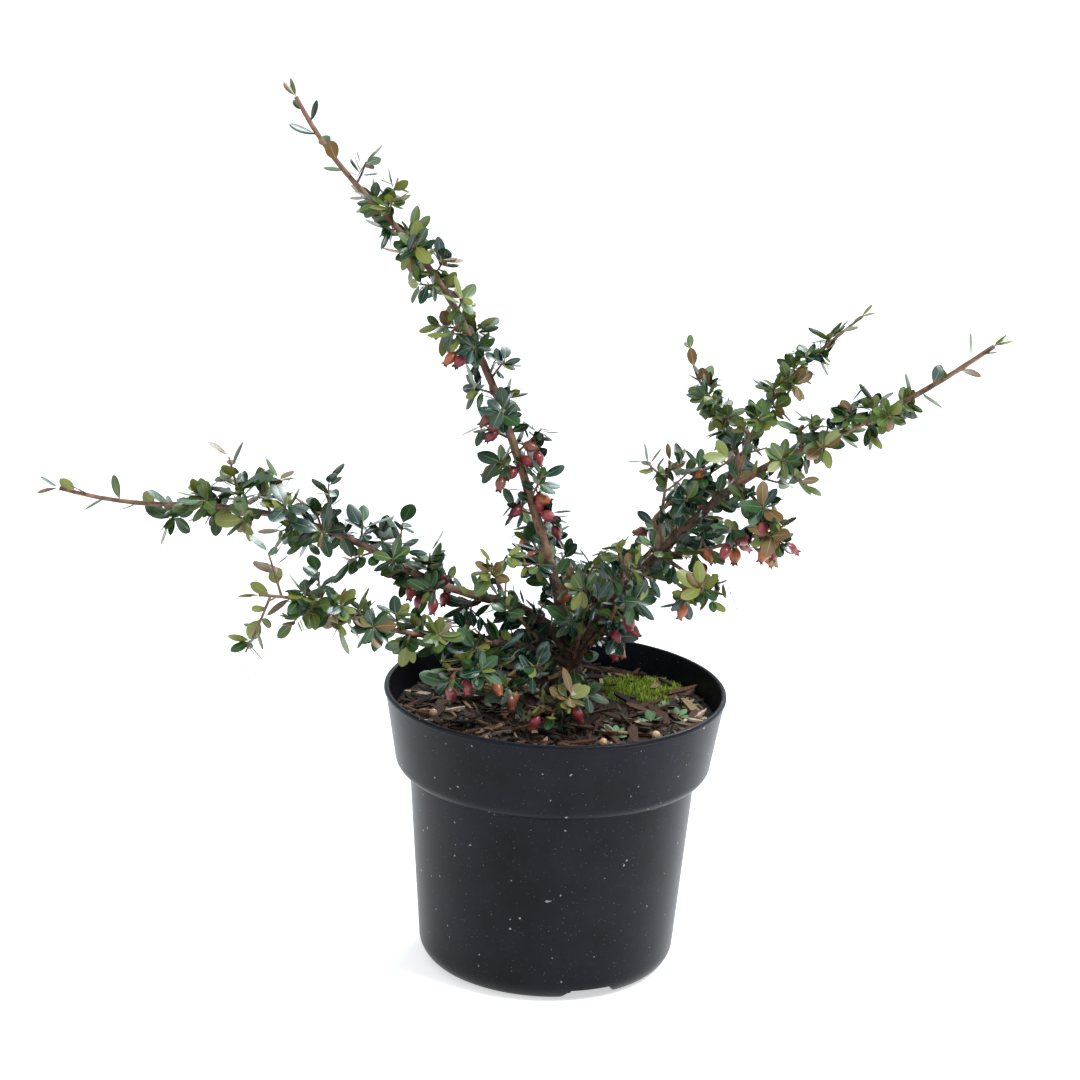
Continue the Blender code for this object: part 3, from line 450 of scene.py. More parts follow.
def grow(name):
    """The twigs and leaves of one shoot."""
    shoot = SHOOTS[name]
    course, length = COURSES[name], shoot["length"]
    draw = random.Random(shoot["seed"])
    twigs, leaves = [], []
    phase = draw.uniform(0, 2 * math.pi)
    distance = max(shoot["bough"], shoot["radius"] * 3 + 0.003) + 0.002
    number = 0
    while distance < length - 0.002:
        spot, along = point_on(course, distance)
        out = round_about(along, phase + number * GOLDEN_ANGLE + draw.uniform(-0.3, 0.3))
        leafy_share = (distance - shoot["bough"]) / (length - shoot["bough"])
        spur = float(np.interp(leafy_share, np.linspace(0, 1, len(shoot["spurs"])), shoot["spurs"]))
        size = float(np.interp(distance / length, (0, 1), shoot["blade"])) * draw.uniform(0.8, 1.15)
        from_tip = length - distance
        if spur > 0.003 and from_tip > shoot["tender"]:
            reach = spur * draw.uniform(0.55, 1.2)
            new_twigs, new_leaves = grow_spur(name, draw, spot, along, out, reach, size)
            twigs += new_twigs
            leaves += new_leaves
        else:
            leaves += grow_single(name, draw, spot, along, out, from_tip, size)
        number += 1
        distance += NODE_GAP * draw.uniform(0.8, 1.2) * min(1.0, 0.5 + from_tip / 0.05)
    for place, turned, reach in shoot["forks"]:
        twig, new_leaves = grow_fork(name, draw, place, turned, reach)
        twigs.append(twig)
        leaves += new_leaves
    spot, along = point_on(course, length)
    for turned in (0, math.pi):
        axis = unit(along + round_about(along, phase + turned) * 0.35)
        leaves += if_it_fits(name, spot, axis, unit(UP + along * 0.3), shoot["blade"][1] * 0.7)
    return twigs, leaves


def fruit_of(name):
    """Each fruit as the spot on the shoot, the way it hangs and how far its end reaches."""
    found = []
    for place, turned, reach in SHOOTS[name]["fruit"]:
        spot, along = point_on(COURSES[name], place)
        hang = unit(round_about(along, math.radians(turned)) - UP * 0.5)
        ends = [spot + hang * (reach - FRUIT_LENGTH * share) for share in (0.5, 0.2, -0.3)]
        if SPACES.hold(name, ends, FRUIT_MARGIN):
            found.append((spot, hang, reach))
    return found


# Meshes

KNOB_SIZE = 0.003
KNOBS_AROUND = 1.3
FINE_KNOB_HEIGHT = 0.6
FINE_KNOB_SCALE = 2.7


def add_object(name, data):
    obj = bpy.data.objects.new(name, data)
    bpy.context.scene.collection.objects.link(obj)
    return obj


def add_shape(name, shape):
    """A built shape as an object's mesh."""
    mesh = bpy.data.meshes.new(name)
    shape.to_mesh(mesh)
    shape.free()
    return add_object(name, mesh)


class Build:
    """Gathers points and faces of one kind, and makes one mesh of them."""

    def __init__(self):
        self.points, self.faces, self.slots = [], [], []

    def add(self, points, faces, slots):
        first = len(self.points)
        self.points.extend(tuple(float(value) for value in point) for point in points)
        self.faces.extend(tuple(first + corner for corner in face) for face in faces)
        self.slots.extend([slots] * len(faces) if isinstance(slots, int) else slots)

    def make(self, name, materials, smooth=True):
        mesh = bpy.data.meshes.new(name)
        mesh.from_pydata(self.points, [], self.faces)
        for material in materials:
            mesh.materials.append(material)
        mesh.polygons.foreach_set("material_index", self.slots)
        mesh.polygons.foreach_set("use_smooth", [smooth] * len(self.faces))
        mesh.update()
        return add_object(name, mesh)


def piece(obj, slot, *nodes):
    """Rides with the plant and stands for the nodes; slot is not used."""
    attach(obj, "root")
    if nodes:
        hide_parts(*nodes)


def outward(turn, turns, side, across):
    """The direction at one of some even turns round an axis."""
    angle = 2 * math.pi * turn / turns
    return math.cos(angle) * side + math.sin(angle) * across


def tube_points(course, radii, sides, wobble):
    """Rings round a course, each turned the least from the last, with knobs where wobble is set."""
    corners = []
    side = None
    for number, point in enumerate(course):
        before, after = course[max(number - 1, 0)], course[min(number + 1, len(course) - 1)]
        along = unit(np.array(after) - np.array(before))
        side = round_about(along, 0.0) if side is None else unit(side - along * side.dot(along))
        across = np.cross(along, side)
        for turn in range(sides):
            out = outward(turn, sides, side, across)
            reach = radii[number]
            if wobble:
                spot = Vector(np.array(point) / KNOB_SIZE + out * KNOBS_AROUND)
                fine = noise.noise(spot * FINE_KNOB_SCALE)
                reach *= 1 + wobble * noise.noise(spot) + wobble * FINE_KNOB_HEIGHT * fine
            corners.append(np.array(point) + out * reach)
    return corners


def tube_faces(rows, turns):
    """Quads between rings of points, and a cap at each end."""
    faces = []
    for row in range(rows - 1):
        for turn in range(turns):
            low, high = row * turns, (row + 1) * turns
            following = (turn + 1) % turns
            faces.append((low + turn, low + following, high + following, high + turn))
    faces.append(tuple(range(turns))[::-1])
    faces.append(tuple(range((rows - 1) * turns, rows * turns)))
    return faces


def add_tube(build, course, radii, sides, wobble=0.0):
    build.add(tube_points(course, radii, sides, wobble), tube_faces(len(course), sides), 0)


# Leaf: half widths at shares of its length, columns across it, and the ranges its shape is drawn from
LEAF_STATIONS = (0.0, 0.09, 0.17, 0.28, 0.42, 0.57, 0.73, 0.87, 0.96, 1.0)
LEAF_HALF_WIDTHS = (0.045, 0.06, 0.30, 0.66, 0.91, 1.0, 0.94, 0.68, 0.34, 0.05)
LEAF_COLUMNS = (-1.0, -0.55, -0.09, 0.09, 0.55, 1.0)
RIB_COLUMN = 2
RIB_HALF_WIDTH = 0.00022
BLADE_LONGER = 1.16
BLADE_HALF_WIDTH = (0.25, 0.31)
BLADE_FOLD = (0.02, 0.22)
BLADE_ARCH = (-0.05, 0.20)
BLADE_TWIST = (-0.22, 0.22)
BLADE_CUP = 0.18


def add_leaf(build, leaf, tint, rib, draw):
    """A blade that widens towards its end, folded a little at its pale midrib and arched back."""
    root, axis, face, length = leaf
    side = unit(np.cross(axis, face))
    face = np.cross(side, axis)
    full = length * BLADE_LONGER
    half = length * draw.uniform(*BLADE_HALF_WIDTH)
    fold = draw.uniform(*BLADE_FOLD)
    arch = draw.uniform(*BLADE_ARCH)
    twist = draw.uniform(*BLADE_TWIST)
    points, faces, slots = [], [], []
    for station, width in zip(LEAF_STATIONS, LEAF_HALF_WIDTHS):
        turn = twist * station
        across = math.cos(turn) * side + math.sin(turn) * face
        up = math.cos(turn) * face - math.sin(turn) * side
        centre = root + axis * full * station - face * full * arch * station * station
        for column in LEAF_COLUMNS:
            reach = half * width * column
            if abs(column) < 0.1:
                reach = RIB_HALF_WIDTH * (1.15 - station) * (1 if column > 0 else -1)
            lift = abs(column) * fold * half * width - BLADE_CUP * half * width * column * column
            points.append(centre + across * reach + up * lift)
    columns = len(LEAF_COLUMNS)
    for row in range(len(LEAF_STATIONS) - 1):
        for column in range(columns - 1):
            corner = row * columns + column
            faces.append((corner, corner + 1, corner + columns + 1, corner + columns))
            slots.append(rib if column == RIB_COLUMN or row == 0 else tint)
    build.add(points, faces, slots)


# Fruit: its width at shares of its length, and the points in each ring
FRUIT_PROFILE = (
    (0.00, 0.10), (0.05, 0.36), (0.14, 0.62), (0.28, 0.86), (0.44, 1.0), (0.58, 0.97),
    (0.71, 0.83), (0.83, 0.64), (0.92, 0.53), (1.0, 0.58),
)
FRUIT_TURNS = 14
FRUIT_TEETH = 5
STALK_RADII = (0.0005, 0.00045, 0.0006)


def add_fruit(build, stems, fruit, slot, draw):
    """A fruit on its stalk, with dry teeth round its end."""
    spot, hang, reach = fruit
    teeth_slot = len(FRUIT_TINTS)
    side = round_about(hang, draw.uniform(0, 6))
    across = np.cross(hang, side)
    length = FRUIT_LENGTH * draw.uniform(0.86, 1.0)
    radius = FRUIT_RADIUS * draw.uniform(0.92, 1.06)
    root = spot + hang * (reach - length)
    points = []
    for share, width in FRUIT_PROFILE:
        for turn in range(FRUIT_TURNS):
            out = outward(turn, FRUIT_TURNS, side, across)
            lump = 1 + 0.05 * noise.noise(Vector(out * 1.5 + root * 300))
            points.append(root + hang * length * share + out * radius * width * lump)
    faces = tube_faces(len(FRUIT_PROFILE), FRUIT_TURNS)
    build.add(points, faces, [slot] * (len(faces) - 1) + [teeth_slot])
    end = root + hang * length * 0.985
    for tooth in range(FRUIT_TEETH):
        out = outward(tooth, FRUIT_TEETH, side, across)
        wide = np.cross(hang, out) * radius * 0.26
        foot = end + out * radius * 0.50
        tip = end + out * radius * 0.78 + hang * 0.0012
        corners = [foot - wide, foot + wide, tip, end + out * radius * 0.1]
        build.add(corners, [(0, 1, 2), (1, 0, 3), (0, 2, 3), (2, 1, 3)], teeth_slot)
    bend = spot + hang * max(reach - length, 0.0008) * 0.6
    add_tube(stems, [spot, bend, root + hang * 0.0004], STALK_RADII, 6)


# Materials

# Name, colour, roughness and coat: six leaf tints, the first three dark, and the ribs of dark and pale leaves
LEAF_MATERIALS = (
    ("leaf dark", (0.009, 0.034, 0.011), 0.30, 0.30),
    ("leaf deep blue green", (0.008, 0.036, 0.023), 0.24, 0.45),
    ("leaf mid", (0.022, 0.066, 0.014), 0.33, 0.28),
    ("leaf light", (0.070, 0.118, 0.022), 0.38, 0.20),
    ("leaf yellow green", (0.165, 0.185, 0.030), 0.45, 0.12),
    ("leaf bronze", (0.150, 0.082, 0.026), 0.42, 0.15),
    ("leaf rib", (0.130, 0.200, 0.090), 0.40, 0.2),
    ("leaf rib young", (0.240, 0.270, 0.090), 0.45, 0.1),
)
LEAF_TINTS = 6
DARK_TINTS = 3
YELLOW_TINT = 4
FRUIT_TINTS = (
    ("fruit rose", (0.270, 0.040, 0.045)),
    ("fruit red", (0.200, 0.022, 0.024)),
    ("fruit orange", (0.360, 0.095, 0.030)),
    ("fruit russet", (0.180, 0.055, 0.030)),
)
COAT_ROUGHNESS = 0.22
BLACK = (0.0, 0.0, 0.0)
WHITE = (1.0, 1.0, 1.0)


def set_inputs(node, values):
    for name, value in values.items():
        node.inputs[name].default_value = value


def new_material(name, colour, roughness, coat=0.0, specular=0.5):
    material = bpy.data.materials.new(name)
    material.use_nodes = True
    values = {
        "Base Color": (*colour, 1.0), "Roughness": roughness, "Coat Weight": coat,
        "Coat Roughness": COAT_ROUGHNESS, "Specular IOR Level": specular,
    }
    set_inputs(material.node_tree.nodes["Principled BSDF"], values)
    return material


def noise_pattern(tree, scale, detail):
    """A noise in object space."""
    place = tree.nodes.new("ShaderNodeTexCoord")
    pattern = tree.nodes.new("ShaderNodeTexNoise")
    set_inputs(pattern, {"Scale": scale, "Detail": detail})
    tree.links.new(place.outputs["Object"], pattern.inputs["Vector"])
    return pattern


def colour_ramp(tree, value, low_end, high_end):
    """A ramp over a value, from one place and colour to another."""
    ramp = tree.nodes.new("ShaderNodeValToRGB")
    for number, (position, colour) in enumerate((low_end, high_end)):
        ramp.color_ramp.elements[number].position = position
        ramp.color_ramp.elements[number].color = (*colour, 1.0)
    tree.links.new(value, ramp.inputs["Fac"])
    return ramp.outputs["Color"]


def add_noise(material, scale, low, high):
    """Mixes two colours by noise."""
    tree = material.node_tree
    pattern = noise_pattern(tree, scale, 4.0)
    pattern.inputs["Roughness"].default_value = 0.6
    colours = colour_ramp(tree, pattern.outputs["Fac"], (0.35, low), (0.68, high))
    tree.links.new(colours, tree.nodes["Principled BSDF"].inputs["Base Color"])


def add_specks(material, scale, above, colour):
    """Small flecks of dust and lime, where a fine noise peaks."""
    tree = material.node_tree
    base = tree.nodes["Principled BSDF"].inputs["Base Color"]
    under = base.links[0].from_socket
    pattern = noise_pattern(tree, scale, 0.0)
    peaks = colour_ramp(tree, pattern.outputs["Fac"], (above, BLACK), (above + 0.02, WHITE))
    mix = tree.nodes.new("ShaderNodeMix")
    mix.data_type = "RGBA"
    mix.inputs["B"].default_value = (*colour, 1.0)
    tree.links.new(peaks, mix.inputs["Factor"])
    tree.links.new(under, mix.inputs["A"])
    tree.links.new(mix.outputs["Result"], base)


def add_bump(material, scale, strength, distance):
    tree = material.node_tree
    pattern = noise_pattern(tree, scale, 3.0)
    bump = tree.nodes.new("ShaderNodeBump")
    set_inputs(bump, {"Strength": strength, "Distance": distance})
    tree.links.new(pattern.outputs["Fac"], bump.inputs["Height"])
    tree.links.new(bump.outputs["Normal"], tree.nodes["Principled BSDF"].inputs["Normal"])


def rough_material(name, values, grain, relief=None):
    """A material coloured by noise and, where relief is given, with a bump."""
    material = new_material(name, *values)
    add_noise(material, *grain)
    if relief:
        add_bump(material, *relief)
    return material


def plastic_material():
    grain = (38.0, (0.0024, 0.0026, 0.0042), (0.0058, 0.0066, 0.0115))
    values = ((0.004, 0.005, 0.008), 0.34, 0.0, 0.14)
    material = rough_material("pot plastic", values, grain, (900.0, 0.15, 0.0002))
    add_specks(material, 420.0, 0.835, (0.22, 0.23, 0.25))
    add_specks(material, 1500.0, 0.815, (0.09, 0.09, 0.10))
    return material


def mix_material():
    grain = (350.0, (0.012, 0.008, 0.006), (0.080, 0.046, 0.026))
    return rough_material("mix", ((0.05, 0.03, 0.018), 0.95), grain, (700.0, 0.9, 0.001))


def chip_material(name, colour):
    low = tuple(value * 0.55 for value in colour)
    high = tuple(min(1.0, value * 1.35) for value in colour)
    return rough_material(name, (colour, 0.85, 0.0, 0.3), (900.0, low, high), (1400.0, 0.6, 0.0004))


def pellet_material():
    grain = (500.0, (0.420, 0.240, 0.110), (0.650, 0.470, 0.280))
    return rough_material("feed pellet", ((0.550, 0.360, 0.190), 0.5, 0.2), grain)


def bark_material():
    grain = (260.0, (0.034, 0.018, 0.013), (0.150, 0.082, 0.058))
    return rough_material("bark", ((0.090, 0.045, 0.030), 0.72, 0.0, 0.30), grain, (800.0, 0.8, 0.0006))


def twig_bark_material():
    grain = (220.0, (0.090, 0.044, 0.030), (0.270, 0.150, 0.085))
    return rough_material("twig", ((0.170, 0.085, 0.050), 0.62, 0.0, 0.4), grain)


def fruit_materials():
    materials = [new_material(name, colour, 0.34, 0.25) for name, colour in FRUIT_TINTS]
    return materials + [new_material("fruit teeth", (0.060, 0.022, 0.018), 0.7)]


# Camera, light and floor

SKY_BRIGHT_WAY = (0.30, 0.25, 0.92)
SKY_DIM = (0.36, 0.38, 0.42)
SKY_BRIGHT = (0.86, 0.94, 1.0)
SKY_STRENGTH = 1.25
LIGHT_AIM = (0, 0, 0.2)
FLOOR_SIZE = 12
FLOOR_GLOW = 0.55


def set_camera():
    pitch, roll = math.radians(PITCH), math.radians(ROLL)
    forward = Vector((0, math.cos(pitch), -math.sin(pitch)))
    right = Vector((1, 0, 0))
    up = right.cross(forward)
    turned_right = math.cos(roll) * right + math.sin(roll) * up
    turned_up = -math.sin(roll) * right + math.cos(roll) * up
    data = bpy.data.cameras.new("camera")
    data.lens = LENS
    data.sensor_width = SENSOR
    camera = add_object("camera", data)
    basis = Matrix((turned_right, turned_up, -forward)).transposed().to_4x4()
    basis.translation = Vector(TARGET) - forward * DISTANCE
    camera.matrix_world = basis
    bpy.context.scene.camera = camera


def add_area(name, place, size, power, colour):
    data = bpy.data.lights.new(name, "AREA")
    data.shape = "SQUARE"
    data.size = size
    data.energy = power
    data.color = colour
    light = add_object(name, data)
    light.location = place
    light.rotation_euler = (Vector(LIGHT_AIM) - Vector(place)).to_track_quat("-Z", "Y").to_euler()


def set_light():
    world = bpy.data.worlds.new("world")
    bpy.context.scene.world = world
    world.use_nodes = True
    tree = world.node_tree
    sky = tree.nodes["Background"]
    place = tree.nodes.new("ShaderNodeTexCoord")
    towards = tree.nodes.new("ShaderNodeVectorMath")
    towards.operation = "DOT_PRODUCT"
    towards.inputs[1].default_value = SKY_BRIGHT_WAY
    tree.links.new(place.outputs["Generated"], towards.inputs[0])
    colours = colour_ramp(tree, towards.outputs["Value"], (0.0, SKY_DIM), (0.95, SKY_BRIGHT))
    tree.links.new(colours, sky.inputs["Color"])
    sky.inputs["Strength"].default_value = SKY_STRENGTH
    add_area("key", (0.9, -0.6, 1.5), 0.45, 24.0, (0.92, 0.97, 1.0))
    add_area("back", (0.5, 1.2, 1.5), 0.7, 22.0, (0.84, 0.92, 1.0))
    add_area("warm", (-1.4, -0.8, 0.9), 0.6, 4.0, (1.0, 0.93, 0.84))
    bpy.context.scene.view_settings.view_transform = "Standard"


def make_floor():
    shape = bmesh.new()
    bmesh.ops.create_grid(shape, x_segments=1, y_segments=1, size=FLOOR_SIZE)
    floor = add_shape("floor", shape)
    paper = new_material("floor white", (0.72, 0.72, 0.72), 0.9, 0.0, 0.0)
    shader = paper.node_tree.nodes["Principled BSDF"]
    set_inputs(shader, {"Emission Color": (*WHITE, 1.0), "Emission Strength": FLOOR_GLOW})
    floor.data.materials.append(paper)


# Pot

LIP_CURVE = 0.0011
NOTCH_DEPTH = 0.040
NOTCH_ROUNDING = 0.0015
POT_SHARP_ANGLE = math.radians(32)


def inner_radius(height):
    heights = (WALL_FOOT[1], NECK[1], COLLAR_FOOT[1], POT_HEIGHT)
    radii = (WALL_FOOT[0], NECK[0], COLLAR_FOOT[0], RIM_RADIUS - LIP_STEP)
    return float(np.interp(height, heights, radii)) - WALL


def rounding(start, end, steps):
    """A quarter ellipse that leaves the first point straight down and comes level into the second."""
    points = []
    for number in range(1, steps):
        angle = math.pi / 2 * number / steps
        share_r, share_z = 1 - math.cos(angle), math.sin(angle)
        points.append((start[0] + (end[0] - start[0]) * share_r, start[1] + (end[1] - start[1]) * share_z))
    return points


def pot_profile():
    """The wall's section as radius and height, from the floor's middle over the rim to the underside."""
    floor_top = FLOOR_UNDERSIDE + WALL
    points = [(0, floor_top), (FOOT_RADIUS + 0.003, floor_top)]
    points += [(inner_radius(WALL_FOOT[1]) - 0.001, WALL_FOOT[1] + 0.001)]
    points += [(inner_radius(NECK[1]), NECK[1]), (inner_radius(COLLAR_FOOT[1]), COLLAR_FOOT[1])]
    top_radius = (inner_radius(POT_HEIGHT) + RIM_RADIUS) / 2
    half = (RIM_RADIUS - inner_radius(POT_HEIGHT)) / 2
    for number in range(9):
        angle = math.pi * number / 8
        height = POT_HEIGHT - LIP_CURVE + LIP_CURVE * math.sin(angle)
        points.append((top_radius - half * math.cos(angle), height))
    points += [(RIM_RADIUS, POT_HEIGHT - LIP_DEPTH), (RIM_RADIUS - 0.0003, POT_HEIGHT - LIP_DEPTH - 0.0004)]
    points += [(RIM_RADIUS - LIP_STEP, POT_HEIGHT - LIP_DEPTH - 0.0006)]
    points += [COLLAR_FOOT, *rounding(COLLAR_FOOT, NECK, 8), NECK]
    points += [WALL_FOOT, *rounding(WALL_FOOT, (FOOT_RADIUS, 0), 8), (FOOT_RADIUS, 0)]
    points += [(FOOT_INNER_RADIUS, 0), (FOOT_INNER_RADIUS - 0.0015, FLOOR_UNDERSIDE)]
    points += [(CENTRE_PAD_RADIUS + 0.001, FLOOR_UNDERSIDE), (CENTRE_PAD_RADIUS, 0), (0, 0)]
    return points


def notch_cutter(heading):
    """A block across the foot ring, narrower and rounded at its top."""
    shape = bmesh.new()
    bmesh.ops.create_cube(shape, size=1)
    for corner in shape.verts:
        high = corner.co.z > 0
        corner.co.x = FOOT_RADIUS + corner.co.x * NOTCH_DEPTH
        corner.co.y *= NOTCH_WIDTH_HIGH if high else NOTCH_WIDTH_LOW
        corner.co.z = FLOOR_UNDERSIDE - 0.0003 if high else -0.004
    top_edges = [edge for edge in shape.edges if min(corner.co.z for corner in edge.verts) > 0]
    bmesh.ops.bevel(shape, geom=top_edges, offset=NOTCH_ROUNDING, segments=3, affect="EDGES")
    cutter = add_shape("notch", shape)
    cutter.rotation_euler.z = math.radians(heading)
    return cutter


def make_pot():
    profile = pot_profile()
    mesh = bpy.data.meshes.new("pot_profile")
    corners = [(radius, 0, height) for radius, height in profile]
    mesh.from_pydata(corners, [(number, number + 1) for number in range(len(profile) - 1)], [])
    guide = add_object("pot_profile", mesh)
    screw = guide.modifiers.new("turn", "SCREW")
    screw.steps = screw.render_steps = POT_TURNS
    screw.use_merge_vertices = True
    screw.merge_threshold = 0.0001
    for heading in NOTCH_HEADINGS:
        cut = guide.modifiers.new("cut", "BOOLEAN")
        cut.operation = "DIFFERENCE"
        cut.object = notch_cutter(heading)
        cut.solver = "EXACT"
    bpy.context.view_layer.update()
    graph = bpy.context.evaluated_depsgraph_get()
    solid = bpy.data.meshes.new_from_object(guide.evaluated_get(graph))
    for obj in [obj for obj in bpy.context.scene.objects if obj.name.startswith(("notch", "pot_profile"))]:
        bpy.data.objects.remove(obj, do_unlink=True)
    pot = add_object("nursery_pot", solid)
    solid.materials.clear()
    solid.materials.append(plastic_material())
    solid.polygons.foreach_set("use_smooth", [True] * len(solid.polygons))
    solid.set_sharp_from_angle(angle=POT_SHARP_ANGLE)
    piece(pot, "pot_plastic", "pot")


# Potting mix, bark chips, pellets, weeds and moss

MIX_GAP = 0.0006
MIX_RINGS = 46
MIX_TURNS = 120
MIX_DEPTH = 0.012
CHIP_SEED = 7
CHIP_COUNT = 1900
LARGE_CHIPS = 480
CHIP_CLEAR_OF_TRUNK = 0.009
CHIP_OUTLINE = (
    (-1, -0.6), (-0.4, -1), (0.5, -0.9), (1, -0.4), (0.9, 0.5), (0.3, 1), (-0.5, 0.9), (-0.95, 0.5),
)
# Name, colour and how often it is drawn
CHIP_TINTS = (
    ("chip dark", (0.024, 0.014, 0.009), 34),
    ("chip brown", (0.072, 0.036, 0.020), 27),
    ("chip red", (0.110, 0.048, 0.026), 10),
    ("chip tan", (0.270, 0.165, 0.090), 9),
    ("chip grey", (0.130, 0.105, 0.082), 10),
    ("chip pale", (0.480, 0.370, 0.260), 5),
)
PELLET_RADIUS = 0.0021
PELLETS = (
    (-0.043, -0.021), (0.024, -0.046), (0.006, -0.058), (-0.060, -0.010), (0.050, -0.030), (-0.020, 0.050),
)
WEED_SEED = 21
WEEDS = (
    (0.062, -0.002), (0.055, 0.012), (0.066, 0.018), (0.048, -0.012), (0.030, -0.030), (-0.030, 0.040),
)
WEED_LEAF = (0.0045, 0.0075)
MOSS_SEED = 11
MOSS_BLADES = 5200
MOSS_BLADE = (0.0010, 0.0022)
MOSS_BLADE_HALF_WIDTH = 0.00045


def surface_height(x, y):
    """The top of the mix: uneven, and a little lower to the left."""
    lump = noise.noise(Vector((x / 0.016, y / 0.016, 0.3)))
    small = noise.noise(Vector((x / 0.005, y / 0.005, 1.7)))
    return SOIL_LEVEL - 0.0016 + 0.0014 * lump + 0.0006 * small + 0.012 * min(0.0, x + 0.02)


def make_mix(edge):
    """The uneven top of the mix, down to a flat underside."""
    build = Build()
    points, faces = [(0, 0, surface_height(0, 0))], []
    for ring in range(1, MIX_RINGS + 1):
        for turn in range(MIX_TURNS):
            angle = 2 * math.pi * turn / MIX_TURNS
            radius = edge * ring / MIX_RINGS
            x, y = radius * math.cos(angle), radius * math.sin(angle)
            points.append((x, y, surface_height(x, y)))
    for turn in range(MIX_TURNS):
        angle = 2 * math.pi * turn / MIX_TURNS
        x, y = edge * 0.985 * math.cos(angle), edge * 0.985 * math.sin(angle)
        points.append((x, y, SOIL_LEVEL - MIX_DEPTH))
    for turn in range(MIX_TURNS):
        faces.append((0, 1 + turn, 1 + (turn + 1) % MIX_TURNS))
    for ring in range(MIX_RINGS):
        low, high = 1 + ring * MIX_TURNS, 1 + (ring + 1) * MIX_TURNS
        for turn in range(MIX_TURNS):
            following = (turn + 1) % MIX_TURNS
            faces.append((low + turn, high + turn, high + following, low + following))
    faces.append(tuple(range(high, high + MIX_TURNS))[::-1])
    build.add(points, faces, 0)
    piece(build.make("potting_mix_top", [mix_material()]), "potting_mix", "potting_mix")


def add_chip(build, centre, axes, size, jag, tint):
    """A splinter of bark with a jagged outline and a slight bend."""
    axis, side, up = axes
    length, width, thick = size
    corners = len(CHIP_OUTLINE)
    points = []
    for level, grow_by in ((-1, 0.9), (1, 1.0)):
        for spot, (lengthways, sideways) in enumerate(CHIP_OUTLINE):
            bend = up * (0.12 * thick * math.sin(3 * lengthways))
            along = axis * lengthways * length / 2 * jag[spot] * grow_by
            aside = side * sideways * width / 2 * jag[(spot + 3) % corners] * grow_by
            points.append(centre + along + aside + up * level * thick / 2 + bend)
    faces = [tuple(range(corners))[::-1], tuple(range(corners, 2 * corners))]
    for spot in range(corners):
        following = (spot + 1) % corners
        faces.append((spot, following, corners + following, corners + spot))
    build.add(points, faces, tint)


def make_chips(edge):
    """Bark chips lying every way on the mix, with fine crumbs between."""
    draw = random.Random(CHIP_SEED)
    build = Build()
    weights = [weight for _, _, weight in CHIP_TINTS]
    for number in range(CHIP_COUNT):
        radius = edge * math.sqrt(draw.random())
        angle = draw.uniform(0, 2 * math.pi)
        x, y = radius * math.cos(angle), radius * math.sin(angle)
        large = number < LARGE_CHIPS
        length = draw.uniform(0.007, 0.021) if large else draw.uniform(0.0015, 0.006)
        width = length * draw.uniform(0.10, 0.32)
        thick = min(0.0014, width * draw.uniform(0.2, 0.5))
        turn = draw.uniform(0, 2 * math.pi)
        tilt = draw.uniform(-0.35, 0.35) if large else draw.uniform(-0.9, 0.9)
        tint = draw.choices(range(len(CHIP_TINTS)), weights)[0]
        lean = draw.uniform(-0.3, 0.3)
        jag = [draw.uniform(0.75, 1.15) for _ in CHIP_OUTLINE]
        room = edge - 0.001 - length / 2
        if radius > room:
            x, y = x * room / radius, y * room / radius
        if math.hypot(x - TRUNK_FOOT[0], y - TRUNK_FOOT[1]) < CHIP_CLEAR_OF_TRUNK + length * 0.4:
            continue
        on_moss = math.hypot((x - MOSS_CENTRE[0]) / MOSS_SIZE[0], (y - MOSS_CENTRE[1]) / MOSS_SIZE[1])
        if on_moss < 0.95 and number % 5:
            continue
        axis = np.array((math.cos(turn) * math.cos(tilt), math.sin(turn) * math.cos(tilt), math.sin(tilt)))
        side = unit(np.cross(UP, axis) + UP * lean)
        up = unit(np.cross(axis, side))
        height = surface_height(x, y) + thick * 0.6 + abs(math.sin(tilt)) * length * 0.3 + 0.0004
        add_chip(build, np.array((x, y, height)), (axis, side, up), (length, width, thick), jag, tint)
    materials = [chip_material(name, colour) for name, colour, _ in CHIP_TINTS]
    piece(build.make("bark_chips", materials, smooth=False), "potting_mix")


def make_pellets():
    """Slow-release feed pellets on the mix."""
    build = Build()
    for x, y in PELLETS:
        shape = bmesh.new()
        bmesh.ops.create_icosphere(shape, subdivisions=3, radius=PELLET_RADIUS)
        for corner in shape.verts:
            corner.co *= 1 + 0.10 * noise.noise(corner.co * 500 + Vector((x, y, 0)) * 900)
        place = Vector((x, y, surface_height(x, y) + 0.0022))
        shape.verts.ensure_lookup_table()
        faces = [[corner.index for corner in face.verts] for face in shape.faces]
        build.add([corner.co + place for corner in shape.verts], faces, 0)
        shape.free()
    piece(build.make("feed_pellets", [pellet_material()]), "potting_mix")


def make_weeds():
    """Small flat weeds on the mix."""
    draw = random.Random(WEED_SEED)
    build = Build()
    for x, y in WEEDS:
        count = draw.choice((5, 6, 7, 8))
        foot = np.array((x, y, surface_height(x, y) + 0.0015))
        turn = draw.uniform(0, 6)
        for number in range(count):
            angle = turn + number * GOLDEN_ANGLE
            axis = unit(np.array((math.cos(angle), math.sin(angle), draw.uniform(0.15, 0.7))))
            leaf = (foot, axis, unit(UP + jitter(draw)), draw.uniform(*WEED_LEAF))
            add_leaf(build, leaf, 0, 1, draw)
    green = new_material("weed leaf", (0.110, 0.190, 0.085), 0.6, 0.0, 0.2)
    vein = new_material("weed rib", (0.180, 0.260, 0.120), 0.6, 0.0, 0.2)
    piece(build.make("small_weeds", [green, vein]), "moss")


